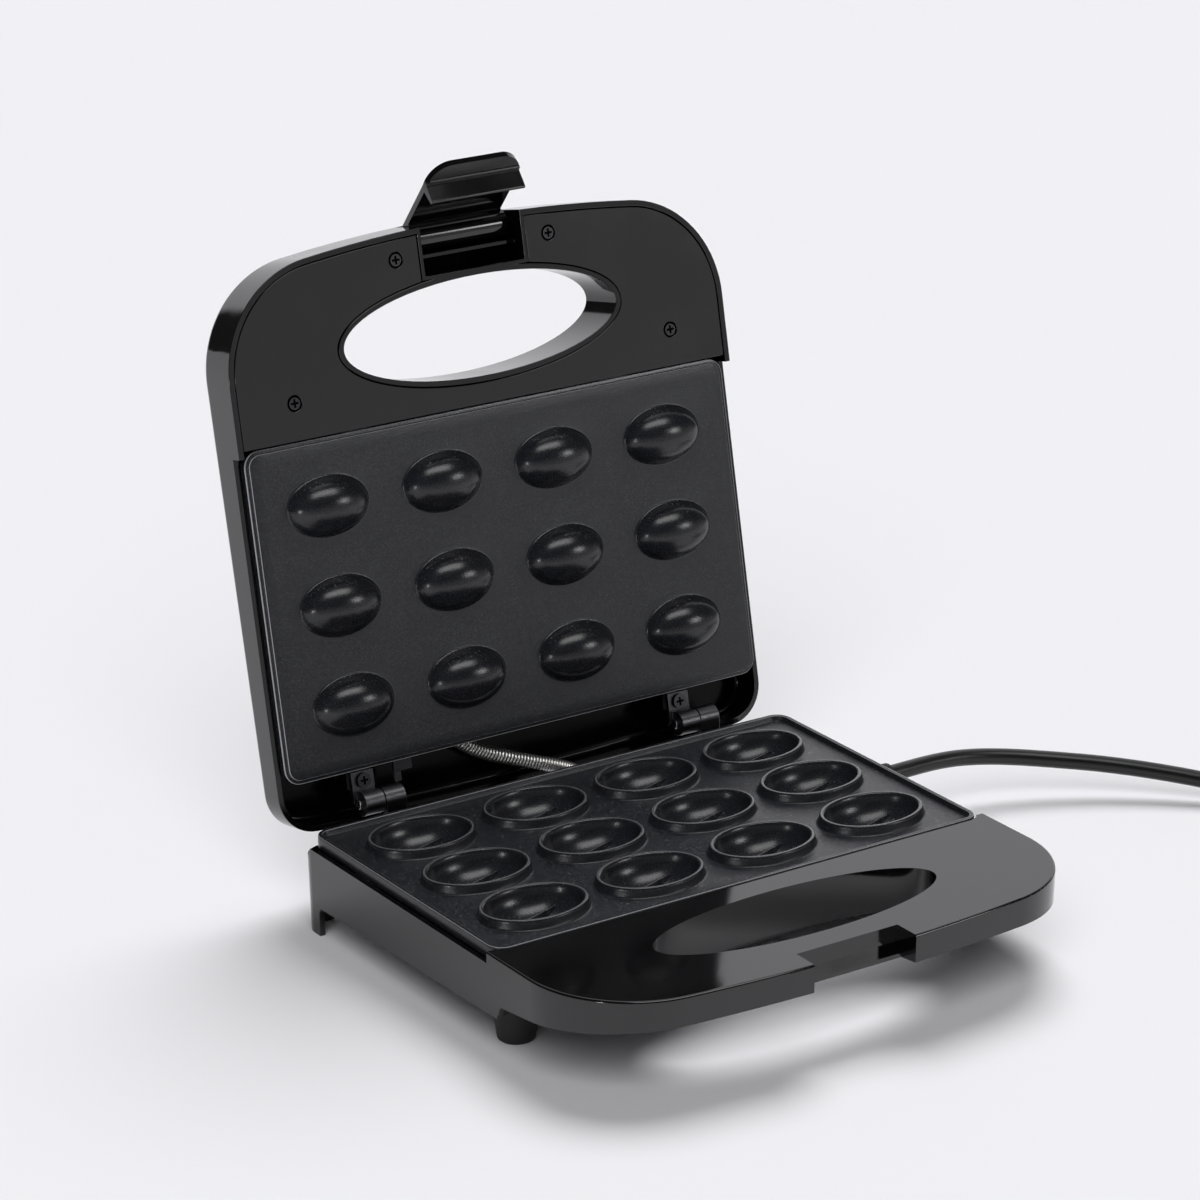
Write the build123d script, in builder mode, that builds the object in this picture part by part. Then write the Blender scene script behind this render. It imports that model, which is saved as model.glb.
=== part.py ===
from build123d import *
import math
import os

os.makedirs("parts", exist_ok=True)

# Electric nut cookie maker with its lid open. Millimetres, +X to the right along the hinge,
# +Y to the back, +Z up. The origin is on the table, under the middle of the object.

# Nut moulds
columns = 4
rows = 3
bowl_length = 40.0
bowl_width = 27.4
bowl_depth = 12.0
bowl_skin = 2.5
boss_end_length = 24.0  # flat under a bowl
boss_end_width = 15.4
ring_wall = 2.0
ring_height = 4.0
ring_draft = 8.0  # degrees
column_gap = 8.0
row_gap = 7.83
dough_ends = 1.6  # room left for the dough round a dome
dough_sides = 2.0
dough_depth = 2.5
column_pitch = bowl_length + 2 * ring_wall + column_gap
row_pitch = bowl_width + 2 * ring_wall + row_gap
dome_length = bowl_length - 2 * dough_ends
dome_width = bowl_width - 2 * dough_sides
dome_height = bowl_depth - dough_depth

# Baking plates
plate_y = -2.81  # middle of the plates
plate_margin_x = 14.5
plate_margin_y = 13.31
plate_width = columns * column_pitch + plate_margin_x
plate_depth = rows * row_pitch + plate_margin_y
plate_radius = 6.5
plate_rim = 2.0
plate_front = plate_y - plate_depth / 2
plate_rear = plate_y + plate_depth / 2

# Heights, from the table up
foot_height = 15.1
cover_sheet = 2.0
service_space = 7.4
reflector_sheet = 0.6
reflector_gap = 1.9
ring_over_rim = 1.5
plate_thickness = 2.8
plate_gap = 0.4  # between the shut plates
upper_thickness = 5.0
upper_space = 8.6
bottom_cover_z = foot_height
cover_top = bottom_cover_z + cover_sheet
reflector_floor = cover_top + service_space
bowl_under = reflector_floor + reflector_sheet + reflector_gap
ring_top = bowl_under + bowl_skin + bowl_depth
plate_rim_top = ring_top - ring_over_rim
plate_floor = ring_top - ring_height
plate_under = plate_floor - plate_thickness
upper_face = ring_top + plate_gap
upper_top = upper_face + upper_thickness
upper_reflector = upper_top + upper_space

# Housings
wall = 2.3
wall_draft = 1.4  # degrees
side_gap = 0.75  # between a plate and the walls beside it
part_gap = 0.8
cover_gap = 0.5  # between a cover and the housing round it
handle_depth = 73.9
rear_space = 4.7  # between the lower plate and the rear wall
front_bow = 10.3  # how far the front edge falls back at the sides
front_radius = 44.0
base_rear_bow = 1.5
base_rear_radius = 10.0
lid_rear_bow = 3.4
lid_rear_radius = 16.0
base_round = 1.0
lid_round = 4.0
half_width = plate_width / 2 + side_gap + wall
front_edge = plate_front - handle_depth
base_rear = plate_rear + rear_space + wall

# Base heights
base_handle_top = ring_top - 2.0
base_side_top = ring_top - 6.5
base_rear_top = ring_top - 10.3
base_front_under = ring_top - 13.0
base_step_upper = ring_top - 21.0
cover_recess = 0.4
base_step_lower = bottom_cover_z - cover_recess / 2
base_rear_under = bottom_cover_z - 3.2
base_step_y = plate_front - 6.5
base_step_run = 3.0
leg_depth = 15.5
leg_width = 14.0
leg_arch = 2.5
leg_front = base_rear - leg_depth
handle_rear = plate_front + 2.1  # where the handle's top meets the lower side walls
base_top_step = plate_rear - 3.5  # where the side wall drops to the rear wall
base_top_run = 3.0

# Hinges
knuckle_radius = 5.0
pin_radius = 1.5
pin_fit = 0.05
pin_head = 2.0
pin_head_height = 0.8
hinge_gap = 0.75  # between the rear wall and the knuckles
hinge_drop = 1.35
lid_rear_gap = 2.95  # between the knuckles and the lid's rear wall
left_hinge_inset = 33.95  # of the lid knuckle's middle from the plate's left side
right_hinge_inset = 38.85
lid_knuckle = 8.6
base_knuckle = 9.0
knuckle_gap = 0.4
leaf_width = 10.0
leaf_shift = -0.7
leaf_sheet = 2.2
leaf_reach = 3.6  # past its screw
web_sheet = 3.0
arm_drop = 0.3
arm_fit = 0.4
hinge_y = base_rear + hinge_gap + knuckle_radius
hinge_z = ring_top - hinge_drop
lid_open = 101.9  # degrees
base_knuckle_shift = lid_knuckle / 2 + knuckle_gap + base_knuckle / 2
hinge_places = (left_hinge_inset - plate_width / 2, plate_width / 2 - right_hinge_inset)
lid_rear = hinge_y + knuckle_radius + lid_rear_gap + wall
leaf_screw_y = plate_rear + 4.1
tab_sheet = 2.0
leaf_under = upper_face + 0.4
tab_under = leaf_under + leaf_sheet
tab_top = tab_under + tab_sheet

# Lid heights, with the lid shut
handle_gap = 0.8  # between the shut handles
lid_handle_rim = base_handle_top + handle_gap
inner_cover_z = lid_handle_rim + cover_recess / 2
lid_side_rim = ring_top + 4.0
lid_rear_rim = ring_top + 4.5
lid_front_top = ring_top + 21.5
lid_rear_top = ring_top + 18.0

inner_cover_top = inner_cover_z + cover_sheet

# Tongues at the upper plate's front edge
tongue_inset = 51.25  # of a tongue's middle from the plate's side
tongue_width = 12.0
tongue_reach = 4.5
tongue_rib_y = plate_front - 3.0
tongue_x = plate_width / 2 - tongue_inset

# Finger openings through both handles
finger_y = front_edge + 42.4
finger_length = 126.0
finger_width = 39.6

# Latch and its notches
notch_half = 22.9
notch_wall = 1.5
lip_set_back = 7.1
lip_width = 4.7
lip_sheet = 1.7
lid_notch_depth = 19.8
bay_rib = 1.6
bay_rib_under = ring_top + 5.0
latch_side_gap = 1.5
latch_hub = 5.8
latch_proud = 0.2
latch_sheet = 2.4
latch_tail = 12.1
latch_flare_length = 10.0
latch_flare = 2.2
latch_tip_radius = 10.0
latch_open = 40.0  # degrees
hook_catch = 1.6
hook_gap = 0.5
hook_sheet = 1.6
hook_root = 3.4  # thickness where it leaves the latch's plate
ridge_radius = 0.7
ridge_drop = 5.2  # of the finger ridge below the hook's top
bay_gap = 0.6
lip_top = ring_top - 11.2
lip_bottom = lip_top - lip_sheet
lip_front = front_edge + lip_set_back
base_notch_rear = lip_front + lip_width
lid_notch_rear = front_edge + lid_notch_depth
latch_half = notch_half - latch_side_gap
latch_y = front_edge + latch_hub - latch_proud
latch_z = ring_top + 11.5
bay_top = latch_z + latch_hub + bay_gap
bay_rib_y = latch_y + latch_hub + bay_gap + bay_rib / 2

# Posts, bosses and screws
post_radius = 3.5
post_inset_x = 7.25
post_inset_y = 4.5
screw_radius = 1.4
screw_hole = 1.5
screw_bite = 6.0  # how far a screw goes into its boss
head_radius = 3.0
head_height = 1.2
head_room = 0.2  # round a sunk head
cross_width = 0.9
cross_length = 3.4
cross_depth = 0.7
rib_sheet = 2.0
post_x = plate_width / 2 - post_inset_x
post_y = plate_depth / 2 - post_inset_y
cover_boss_y = 12.0
handle_screws = ((half_width - 26.3, front_edge + 55.0), (half_width - 54.3, front_edge + 14.5))
lid_screws = ((half_width - 27.0, front_edge + 58.6), (notch_half + 12.3, front_edge + 11.4))

# Heating elements and reflectors
tube_radius = 3.2
element_gap = 0.1
terminal_radius = 1.5
terminal_length = 7.0
clamp_width = 8.0
clamp_overhang = 4.0
clamp_sheet = 1.0
stake_radius = 1.4
stake_proud = 0.4
stake_fit = 0.2
stay_radius = 3.0
reflector_inset_x = 3.25
reflector_inset_y = 9.5
reflector_radius = 8.0
reflector_wall = 3.2
reflector_room = 1.2
arm_boss_gap = 2.0  # between the reflector and the bosses of the hinge arms
reflector_width = plate_width - 2 * reflector_inset_x
reflector_depth = plate_depth - 2 * reflector_inset_y
lower_tube_z = plate_under - element_gap - tube_radius
upper_tube_z = upper_top + element_gap + tube_radius
element_bend = row_pitch / 2
element_bend_x = -reflector_width / 2 + reflector_room + tube_radius + element_bend
element_end = reflector_width / 2 - terminal_length
arm_screw_y = plate_y + reflector_depth / 2 + arm_boss_gap + post_radius
arm_top = base_rear_top - arm_drop

# Parts under the lower reflector
thermostat_radius = 8.0
thermostat_height = 5.5
fuse_radius = 1.9
fuse_length = 14.0
fuse_x = -38.0
block_inset = 23.25  # of the block's middle from the plate's side
block_x = plate_width / 2 - block_inset
block_length = 16.0
block_width = 22.0
block_height = 6.6
wire_radius = 1.1
wire_spacing = 2.8
vent_length = 26.0
vent_width = 2.4
vent_pitch_x = 40.0
vent_pitch_y = 7.0
vent_columns = 3
vent_rows = 5

# Feet
foot_inset_x = 14.8
foot_inset_y = 5.5
foot_top_radius = 9.2
foot_radius = 7.0
foot_round = 1.5

# Lamps
lamp_x = 9.0
lamp_y = plate_front + 3.5
lens_radius = 3.5
lens_fit = 0.1
lens_proud = 0.6
lens_depth = 3.2
neon_radius = 2.6
neon_length = 5.0

# Sleeve of wound wire over the leads that cross the hinge
sleeve_radius = 2.5  # to the middle of the wire
sleeve_wire = 0.5
sleeve_turns = 26
sleeve_room = 0.3
sleeve_end_x = 18.0
sleeve_end_z = base_rear_top - 0.2

# Mains cord, coil and plug
cord_radius = 3.45
cord_y = plate_y + 22.0
cord_z = cover_top + 4.9
gland_flange = 4.8
gland_neck = 4.1
gland_radius = 6.2
gland_tip = 4.6
gland_length = 20.0
gland_fit = 0.15
gland_sheet = 1.8
gland_draw = 0.6  # clears the drafted wall
gland_seat = 0.2
coil_start = (290.1, cord_y - 93.5)
coil_heading = -52.0  # degrees
coil_radius = 42.0
coil_sides = 8
coil_step = 8.2  # outward per turn
coil_layer = 7.8
coil_layer_turns = 0.875
coil_biarcs = 8
cord_bend_share = 0.45  # of the shorter run beside a corner
last_run = 15.0
tail_bends = 4
tail_turn = 12.0  # degrees
plug_length = 38.0
plug_width = 33.0
plug_height = 25.0
plug_round = 8.0
plug_neck = 15.0
plug_neck_radius = 5.6
plug_neck_tip = 4.4
prong_radius = 2.4
prong_length = 19.0
prong_spacing = 19.0

lid_swing = Axis((0, hinge_y, hinge_z), (1, 0, 0))
latch_swing = Axis((0, latch_y, latch_z), (1, 0, 0))
under_angle = math.atan((base_front_under - base_step_upper) / (base_step_y - front_edge))
handle_under = Plane(
    origin=(0, front_edge, base_front_under),
    x_dir=(1, 0, 0),
    z_dir=(0, math.sin(under_angle), math.cos(under_angle)),
)
top_angle = math.atan((lid_front_top - lid_rear_top) / (lid_rear - front_edge))
lid_top = Plane(
    origin=(0, front_edge, lid_front_top),
    x_dir=(1, 0, 0),
    z_dir=(0, math.sin(top_angle), math.cos(top_angle)),
)


def mirrored_pairs(places):
    """Each place and its mirror image across the middle."""
    return [(side * x, y) for x, y in places for side in (-1, 1)]


def on_handle_under(depth):
    """Places of the handle's screws, square to its sloping underside at a depth."""
    seat = handle_under.offset(depth).location
    return [seat * Pos(x, y - front_edge, 0) for x, y in mirrored_pairs(handle_screws)]


def housing_outline(rear_edge, rear_bow, rear_radius):
    """Plan of a housing: straight sides, bowed front and rear, large front corners."""
    with BuildSketch() as outline:
        with BuildLine():
            left = Line((-half_width, front_edge + front_bow), (-half_width, rear_edge - rear_bow))
            right = Line((half_width, front_edge + front_bow), (half_width, rear_edge - rear_bow))
            ThreePointArc(left @ 0, (0, front_edge), right @ 0)
            ThreePointArc(left @ 1, (0, rear_edge), right @ 1)
        make_face()
        fillet(outline.vertices().sort_by(Axis.Y)[:2], front_radius)
        fillet(outline.vertices().sort_by(Axis.Y)[-2:], rear_radius)
    return outline.sketch


def drafted_block(outline, inset, wide_z, narrow_z):
    """Solid on a plan outline, drawn in by a margin and by the draft away from its wide end."""
    with BuildPart() as made:
        for z in (wide_z, narrow_z):
            with BuildSketch(Plane.XY.offset(z)):
                add(outline)
                offset(amount=-inset - abs(z - wide_z) * math.tan(math.radians(wall_draft)))
        loft(ruled=True)
    return made.part


def screw(shank):
    """Cross-head screw whose head sits on the XY plane, with its shank along +Z."""
    with BuildPart() as made:
        with BuildSketch(Plane.XY.offset(-head_height)):
            Circle(head_radius)
        extrude(amount=head_height)
        with BuildSketch():
            Circle(screw_radius)
        extrude(amount=shank)
        with BuildSketch(Plane.XY.offset(-head_height)):
            Rectangle(cross_length, cross_width)
            Rectangle(cross_width, cross_length)
        extrude(amount=cross_depth, mode=Mode.SUBTRACT)
    return made.part


def finish(piece, name, lid=False):
    """Swing a piece of the lid open, then label and write it."""
    if lid:
        piece.part = piece.part.rotate(lid_swing, -lid_open)
    piece.part.label = name
    export_step(piece.part, f"parts/{name}.step")


base_outline = housing_outline(base_rear, base_rear_bow, base_rear_radius)
lid_outline = housing_outline(lid_rear, lid_rear_bow, lid_rear_radius)

# Base shell: one moulding with its handle and two rear legs, open above for the plate
with BuildPart() as base_shell:
    add(drafted_block(base_outline, 0, base_handle_top, 0))
    fillet(base_shell.edges().group_by(Axis.Z)[-1], base_round)
    add(drafted_block(base_outline, wall, base_handle_top - wall, -wall), mode=Mode.SUBTRACT)
    # Walls round the finger opening and behind the latch notch, and bosses for the handle's cover
    notch_length = base_notch_rear + notch_wall - front_edge - base_round
    with BuildSketch():
        with Locations((0, finger_y)):
            Ellipse(finger_length / 2 + wall, finger_width / 2 + wall)
        with Locations((0, base_notch_rear + notch_wall - notch_length / 2)):
            Rectangle(2 * (notch_half + notch_wall), notch_length)
    extrude(amount=base_handle_top - wall / 2)
    with BuildSketch(handle_under.offset(cover_recess + cover_sheet)):
        with Locations(*[(x, y - front_edge) for x, y in mirrored_pairs(handle_screws)]):
            Circle(post_radius)
    extrude(until=Until.NEXT)
    with BuildSketch():
        with Locations((0, finger_y)):
            Ellipse(finger_length / 2, finger_width / 2)
    extrude(amount=ring_top, mode=Mode.SUBTRACT)
    # Latch notch above and below the lip that the hook catches
    with BuildSketch(Plane.XY.offset(lip_top)):
        with Locations((0, base_notch_rear)):
            Rectangle(2 * notch_half, 2 * lid_notch_depth, align=(Align.CENTER, Align.MAX))
    extrude(amount=ring_top, mode=Mode.SUBTRACT)
    with BuildSketch():
        with Locations((0, base_notch_rear)):
            Rectangle(2 * notch_half, 2 * lid_notch_depth, align=(Align.CENTER, Align.MAX))
    extrude(amount=lip_bottom, mode=Mode.SUBTRACT)
    with BuildSketch():
        with Locations((0, lip_front)):
            Rectangle(2 * notch_half, 2 * lid_notch_depth, align=(Align.CENTER, Align.MAX))
    extrude(amount=ring_top, mode=Mode.SUBTRACT)
    # Sloping underside, with the step before the front feet and the arch before the rear legs
    with BuildSketch(Plane.YZ) as underside:
        with BuildLine():
            Polyline(
                (front_edge - wall, -wall),
                (front_edge - wall, base_front_under),
                (front_edge, base_front_under),
                (base_step_y, base_step_upper),
                (base_step_y + base_step_run, base_step_lower),
                (leg_front, base_rear_under),
                (leg_front, -wall),
                close=True,
            )
        make_face()
        fillet(underside.vertices().group_by(Axis.X)[-1].sort_by(Axis.Y)[-1:], leg_arch)
    extrude(amount=half_width + wall, both=True, mode=Mode.SUBTRACT)
    with BuildSketch(Plane.XZ.offset(-leg_front + wall)) as between_legs:
        Rectangle(
            2 * (half_width - leg_width), 2 * base_rear_under, align=(Align.CENTER, Align.CENTER)
        )
        fillet(between_legs.vertices().group_by(Axis.Y)[-1], leg_arch)
    extrude(amount=-leg_depth - 2 * wall, mode=Mode.SUBTRACT)
    # The side walls stop below the plate's rim and drop again round the hinge
    with BuildSketch(Plane.YZ):
        with BuildLine():
            Polyline(
                (handle_rear, ring_top),
                (handle_rear, base_side_top),
                (base_top_step, base_side_top),
                (base_top_step + base_top_run, base_rear_top),
                (base_rear + wall, base_rear_top),
                (base_rear + wall, ring_top),
                close=True,
            )
        make_face()
    extrude(amount=half_width + wall, both=True, mode=Mode.SUBTRACT)
    with BuildSketch(Plane.XY.offset(plate_under - part_gap)):
        with Locations((0, plate_y)):
            RectangleRounded(
                plate_width + 2 * side_gap, plate_depth + 2 * part_gap, plate_radius + part_gap
            )
    extrude(amount=ring_top, mode=Mode.SUBTRACT)
    # Corner posts under the plate and bosses for the bottom cover, with ribs to the side walls
    with BuildSketch(Plane.XY.offset(cover_top)):
        with Locations((0, plate_y)):
            with GridLocations(2 * post_x, 2 * post_y, 2, 2):
                Circle(post_radius)
            with GridLocations(2 * post_x, 2 * cover_boss_y, 2, 2):
                Circle(post_radius)
        for side, align in ((-1, Align.MAX), (1, Align.MIN)):
            with Locations((side * post_x, plate_y)):
                with GridLocations(1, 2 * post_y, 1, 2):
                    Rectangle(half_width - post_x - wall / 2, rib_sheet, align=(align, Align.CENTER))
                with GridLocations(1, 2 * cover_boss_y, 1, 2):
                    Rectangle(half_width - post_x - wall / 2, rib_sheet, align=(align, Align.CENTER))
    extrude(amount=service_space)
    # Bosses for the hinge arms, tied to the rear wall, and the notches that the arms pass through
    with BuildSketch(Plane.XY.offset(cover_top)):
        for x in hinge_places:
            with Locations((x + base_knuckle_shift, arm_screw_y)):
                Circle(post_radius)
                arm_rib = base_rear - wall / 2 - arm_screw_y - base_rear_bow
                Rectangle(rib_sheet, arm_rib, align=(Align.CENTER, Align.MIN))
    extrude(amount=arm_top - leaf_sheet - cover_top)
    with BuildSketch(Plane.XY.offset(arm_top - leaf_sheet)):
        for x in hinge_places:
            with Locations((x + base_knuckle_shift, base_rear)):
                Rectangle(base_knuckle + 2 * arm_fit, 3 * wall)
    extrude(amount=ring_top, mode=Mode.SUBTRACT)
    # Notch that the wound sleeve enters by
    with BuildSketch(Plane.XZ.offset(-base_rear - wall)):
        with Locations((sleeve_end_x, sleeve_end_z)):
            Circle(sleeve_radius + sleeve_wire + sleeve_room)
            Rectangle(
                2 * (sleeve_radius + sleeve_wire + sleeve_room), ring_top, align=(Align.CENTER, Align.MIN)
            )
    extrude(amount=3 * wall, mode=Mode.SUBTRACT)
    # Screw holes, and the hole for the cord
    with Locations((0, plate_y, cover_top)):
        with GridLocations(2 * post_x, 2 * post_y, 2, 2):
            Cylinder(screw_hole, 4 * service_space, mode=Mode.SUBTRACT)
        with GridLocations(2 * post_x, 2 * cover_boss_y, 2, 2):
            Cylinder(screw_hole, 2 * screw_bite, mode=Mode.SUBTRACT)
    for x in hinge_places:
        with Locations((x + base_knuckle_shift, arm_screw_y, arm_top)):
            Cylinder(screw_hole, 2 * (leaf_sheet + screw_bite), mode=Mode.SUBTRACT)
    with Locations(*on_handle_under(0)):
        Cylinder(screw_hole, 2 * (cover_recess + cover_sheet + screw_bite), mode=Mode.SUBTRACT)
    with BuildSketch(Plane.YZ.offset(half_width + wall)):
        with Locations((cord_y, cord_z)):
            Circle(gland_neck + gland_fit)
    extrude(amount=-3 * wall, mode=Mode.SUBTRACT)
finish(base_shell, "base_shell")

# Bottom cover, with vent slots and an upstand that closes the step under the handle
bottom_inset = wall + cover_gap + (base_handle_top - bottom_cover_z) * math.tan(math.radians(wall_draft))
cover_front = base_step_y + base_step_run + cover_gap
with BuildPart() as base_bottom_cover:
    with BuildSketch(Plane.XY.offset(bottom_cover_z)):
        add(base_outline)
        offset(amount=-bottom_inset)
        with Locations((0, cover_front)):
            Rectangle(
                3 * half_width, 2 * handle_depth, align=(Align.CENTER, Align.MAX), mode=Mode.SUBTRACT
            )
    extrude(amount=cover_sheet)
    with BuildSketch(Plane.XY.offset(cover_top)):
        with Locations((0, cover_front)):
            Rectangle(
                2 * (half_width - bottom_inset), rib_sheet, align=(Align.CENTER, Align.MIN)
            )
    extrude(amount=base_step_upper - cover_top)
    with BuildSketch(Plane.XY.offset(bottom_cover_z)):
        with Locations((0, plate_y)):
            with GridLocations(vent_pitch_x, vent_pitch_y, vent_columns, vent_rows):
                SlotOverall(vent_length, vent_width)
            with GridLocations(2 * post_x, 2 * post_y, 2, 2):
                Circle(screw_hole)
            with GridLocations(2 * post_x, 2 * cover_boss_y, 2, 2):
                Circle(screw_hole)
    extrude(amount=cover_sheet, mode=Mode.SUBTRACT)
    with BuildSketch(Plane.XY.offset(bottom_cover_z)):
        with Locations((0, plate_y)):
            with GridLocations(2 * post_x, 2 * post_y, 2, 2):
                Circle(head_radius + head_room)
            with GridLocations(2 * post_x, 2 * cover_boss_y, 2, 2):
                Circle(head_radius + head_room)
    extrude(amount=head_height, mode=Mode.SUBTRACT)
finish(base_bottom_cover, "base_bottom_cover")

# Sloping cover under the base handle
with BuildPart() as handle_bottom_cover:
    with BuildSketch():
        add(base_outline)
        offset(amount=-bottom_inset)
        with Locations((0, base_step_y + cover_gap)):
            Rectangle(
                3 * half_width, 2 * plate_depth, align=(Align.CENTER, Align.MIN), mode=Mode.SUBTRACT
            )
        with Locations((0, finger_y)):
            Ellipse(
                finger_length / 2 + wall + cover_gap,
                finger_width / 2 + wall + cover_gap,
                mode=Mode.SUBTRACT,
            )
        with Locations((0, base_notch_rear + notch_wall + cover_gap)):
            Rectangle(
                2 * (notch_half + notch_wall + cover_gap),
                2 * lid_notch_depth,
                align=(Align.CENTER, Align.MAX),
                mode=Mode.SUBTRACT,
            )
    extrude(amount=ring_top)
    with BuildSketch(handle_under.offset(cover_recess)):
        Rectangle(3 * half_width, 3 * handle_depth)
    extrude(amount=cover_sheet, mode=Mode.INTERSECT)
    for radius, depth in ((screw_hole, cover_sheet), (head_radius + head_room, head_height)):
        with BuildSketch(handle_under.offset(cover_recess)):
            with Locations(*[(x, y - front_edge) for x, y in mirrored_pairs(handle_screws)]):
                Circle(radius)
        extrude(amount=depth, mode=Mode.SUBTRACT)
finish(handle_bottom_cover, "handle_bottom_cover")

# Screws of both covers
cover_screw = screw(cover_sheet - head_height + screw_bite - part_gap)
with BuildPart() as base_cover_screws:
    with Locations((0, plate_y, bottom_cover_z + head_height)):
        with GridLocations(2 * post_x, 2 * cover_boss_y, 2, 2):
            add(cover_screw)
    with Locations(*on_handle_under(cover_recess + head_height)):
        add(cover_screw)
finish(base_cover_screws, "base_cover_screws")

# Two round rubber feet under the front of the bottom cover
with BuildPart() as front_feet:
    with BuildSketch(Plane.XY.offset(foot_height)):
        with Locations((0, plate_front + foot_inset_y)):
            with GridLocations(2 * (half_width - foot_inset_x), 1, 2, 1):
                Circle(foot_top_radius)
    extrude(
        amount=foot_height,
        dir=(0, 0, -1),
        taper=math.degrees(math.atan((foot_top_radius - foot_radius) / foot_height)),
    )
    fillet(front_feet.edges().group_by(Axis.Z)[0], foot_round)
finish(front_feet, "front_feet")


def nut_shape(length, width, depth):
    """Half-walnut form as a whole ellipsoid about the origin."""
    return scale(Sphere(1), by=(length / 2, width / 2, depth))


# Between the columns, stays hold the element clamps; at the outer rows they hold the reflector
clamp_places = [((i + 1 - columns / 2) * column_pitch, plate_y) for i in range(columns - 1)]
stay_places = [
    (side * column_pitch, plate_y + end * row_pitch) for side in (-1, 1) for end in (-1, 1)
]
clamp_depth = 2 * (element_gap + tube_radius)  # of a clamp's inner face below the plate
stay_sets = (
    (clamp_places, clamp_depth, clamp_sheet),
    (stay_places, plate_under - reflector_floor - reflector_sheet, reflector_sheet),
)

upper_stays = (
    (clamp_places, clamp_depth, clamp_sheet),
    (stay_places, upper_space, reflector_sheet),
)

# Lower plate: rimmed tray with raised rings round the bowls, cast bosses below
bowl = nut_shape(bowl_length, bowl_width, bowl_depth)
with BuildPart() as bowl_boss_form:
    with BuildSketch(Plane.XY.offset(plate_under)):
        Ellipse(bowl_length / 2, bowl_width / 2 + bowl_skin / 2)
    with BuildSketch(Plane.XY.offset(bowl_under)):
        Ellipse(boss_end_length / 2, boss_end_width / 2)
    loft(ruled=True)
bowl_boss = bowl_boss_form.part
with BuildPart() as lower_plate:
    with BuildSketch(Plane.XY.offset(plate_under)):
        with Locations((0, plate_y)):
            RectangleRounded(plate_width, plate_depth, plate_radius)
    extrude(amount=plate_rim_top - plate_under)
    with BuildSketch(Plane.XY.offset(plate_floor)):
        with Locations((0, plate_y)):
            RectangleRounded(
                plate_width - 2 * plate_rim, plate_depth - 2 * plate_rim, plate_radius - plate_rim
            )
    extrude(amount=ring_over_rim + ring_height, mode=Mode.SUBTRACT)
    with BuildSketch(Plane.XY.offset(ring_top)):
        with Locations((0, plate_y)):
            with GridLocations(column_pitch, row_pitch, columns, rows):
                Ellipse(bowl_length / 2 + ring_wall, bowl_width / 2 + ring_wall)
    extrude(amount=ring_height + plate_thickness / 2, dir=(0, 0, -1), taper=-ring_draft)
    # Undersides of the bowls
    with Locations((0, plate_y)):
        with GridLocations(column_pitch, row_pitch, columns, rows):
            add(bowl_boss)
    # Posts for the corner screws, and stays staked through the clamps and the reflector
    with BuildSketch(Plane.XY.offset(plate_under)):
        with Locations((0, plate_y)):
            with GridLocations(2 * post_x, 2 * post_y, 2, 2):
                Circle(post_radius)
    extrude(amount=plate_under - reflector_floor, dir=(0, 0, -1))
    for places, end, sheet in stay_sets:
        for radius, reach in ((stay_radius, 0), (stake_radius, sheet + stake_proud)):
            with BuildSketch(Plane.XY.offset(plate_under)):
                with Locations(*places):
                    Circle(radius)
            extrude(amount=end + reach, dir=(0, 0, -1))
    with Locations((0, plate_y, ring_top)):
        with GridLocations(column_pitch, row_pitch, columns, rows):
            add(bowl, mode=Mode.SUBTRACT)
    with Locations((0, plate_y, reflector_floor)):
        with GridLocations(2 * post_x, 2 * post_y, 2, 2):
            Cylinder(screw_hole, 2 * (screw_bite + cover_gap), mode=Mode.SUBTRACT)
finish(lower_plate, "lower_plate")

# Lower plate's screws, up through the bottom cover and the corner posts
plate_screw = screw(cover_sheet - head_height + service_space + screw_bite)
with BuildPart() as lower_plate_screws:
    with Locations((0, plate_y, bottom_cover_z + head_height)):
        with GridLocations(2 * post_x, 2 * post_y, 2, 2):
            add(plate_screw)
finish(lower_plate_screws, "lower_plate_screws")


def heating_element(z):
    """Sheathed tube bent to a long U between the rows, with an end pin in each leg."""
    with BuildPart() as made:
        with BuildLine() as path:
            front, back = plate_y - element_bend, plate_y + element_bend
            near = Line((element_end, front, z), (element_bend_x, front, z))
            far = Line((element_bend_x, back, z), (element_end, back, z))
            ThreePointArc(near @ 1, (element_bend_x - element_bend, plate_y, z), far @ 0)
        with BuildSketch(Plane(origin=near @ 0, z_dir=(-1, 0, 0))):
            Circle(tube_radius)
        sweep()
        with BuildSketch(Plane.YZ.offset(element_end)):
            with Locations((plate_y, z)):
                with GridLocations(2 * element_bend, 1, 2, 1):
                    Circle(terminal_radius)
        extrude(amount=terminal_length)
    return made


def element_clamps(z):
    """Flat bars across both legs of the element, one on each stay."""
    with BuildPart() as made:
        with BuildSketch(Plane.XY.offset(z)):
            with Locations(*clamp_places):
                Rectangle(clamp_width, row_pitch + 2 * clamp_overhang)
                Circle(stake_radius + stake_fit, mode=Mode.SUBTRACT)
        extrude(amount=clamp_sheet)
    return made


def reflector(z, up):
    """Sheet pan with a low wall all round, on the side that up gives."""
    with BuildPart() as made:
        with BuildSketch(Plane.XY.offset(z)):
            with Locations((0, plate_y)):
                RectangleRounded(reflector_width, reflector_depth, reflector_radius)
            with Locations(*stay_places):
                Circle(stake_radius + stake_fit, mode=Mode.SUBTRACT)
        extrude(amount=up * reflector_sheet)
        with BuildSketch(Plane.XY.offset(z)):
            with Locations((0, plate_y)):
                RectangleRounded(reflector_width, reflector_depth, reflector_radius)
            offset(amount=-reflector_sheet, mode=Mode.SUBTRACT)
        extrude(amount=up * reflector_wall)
    return made


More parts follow.
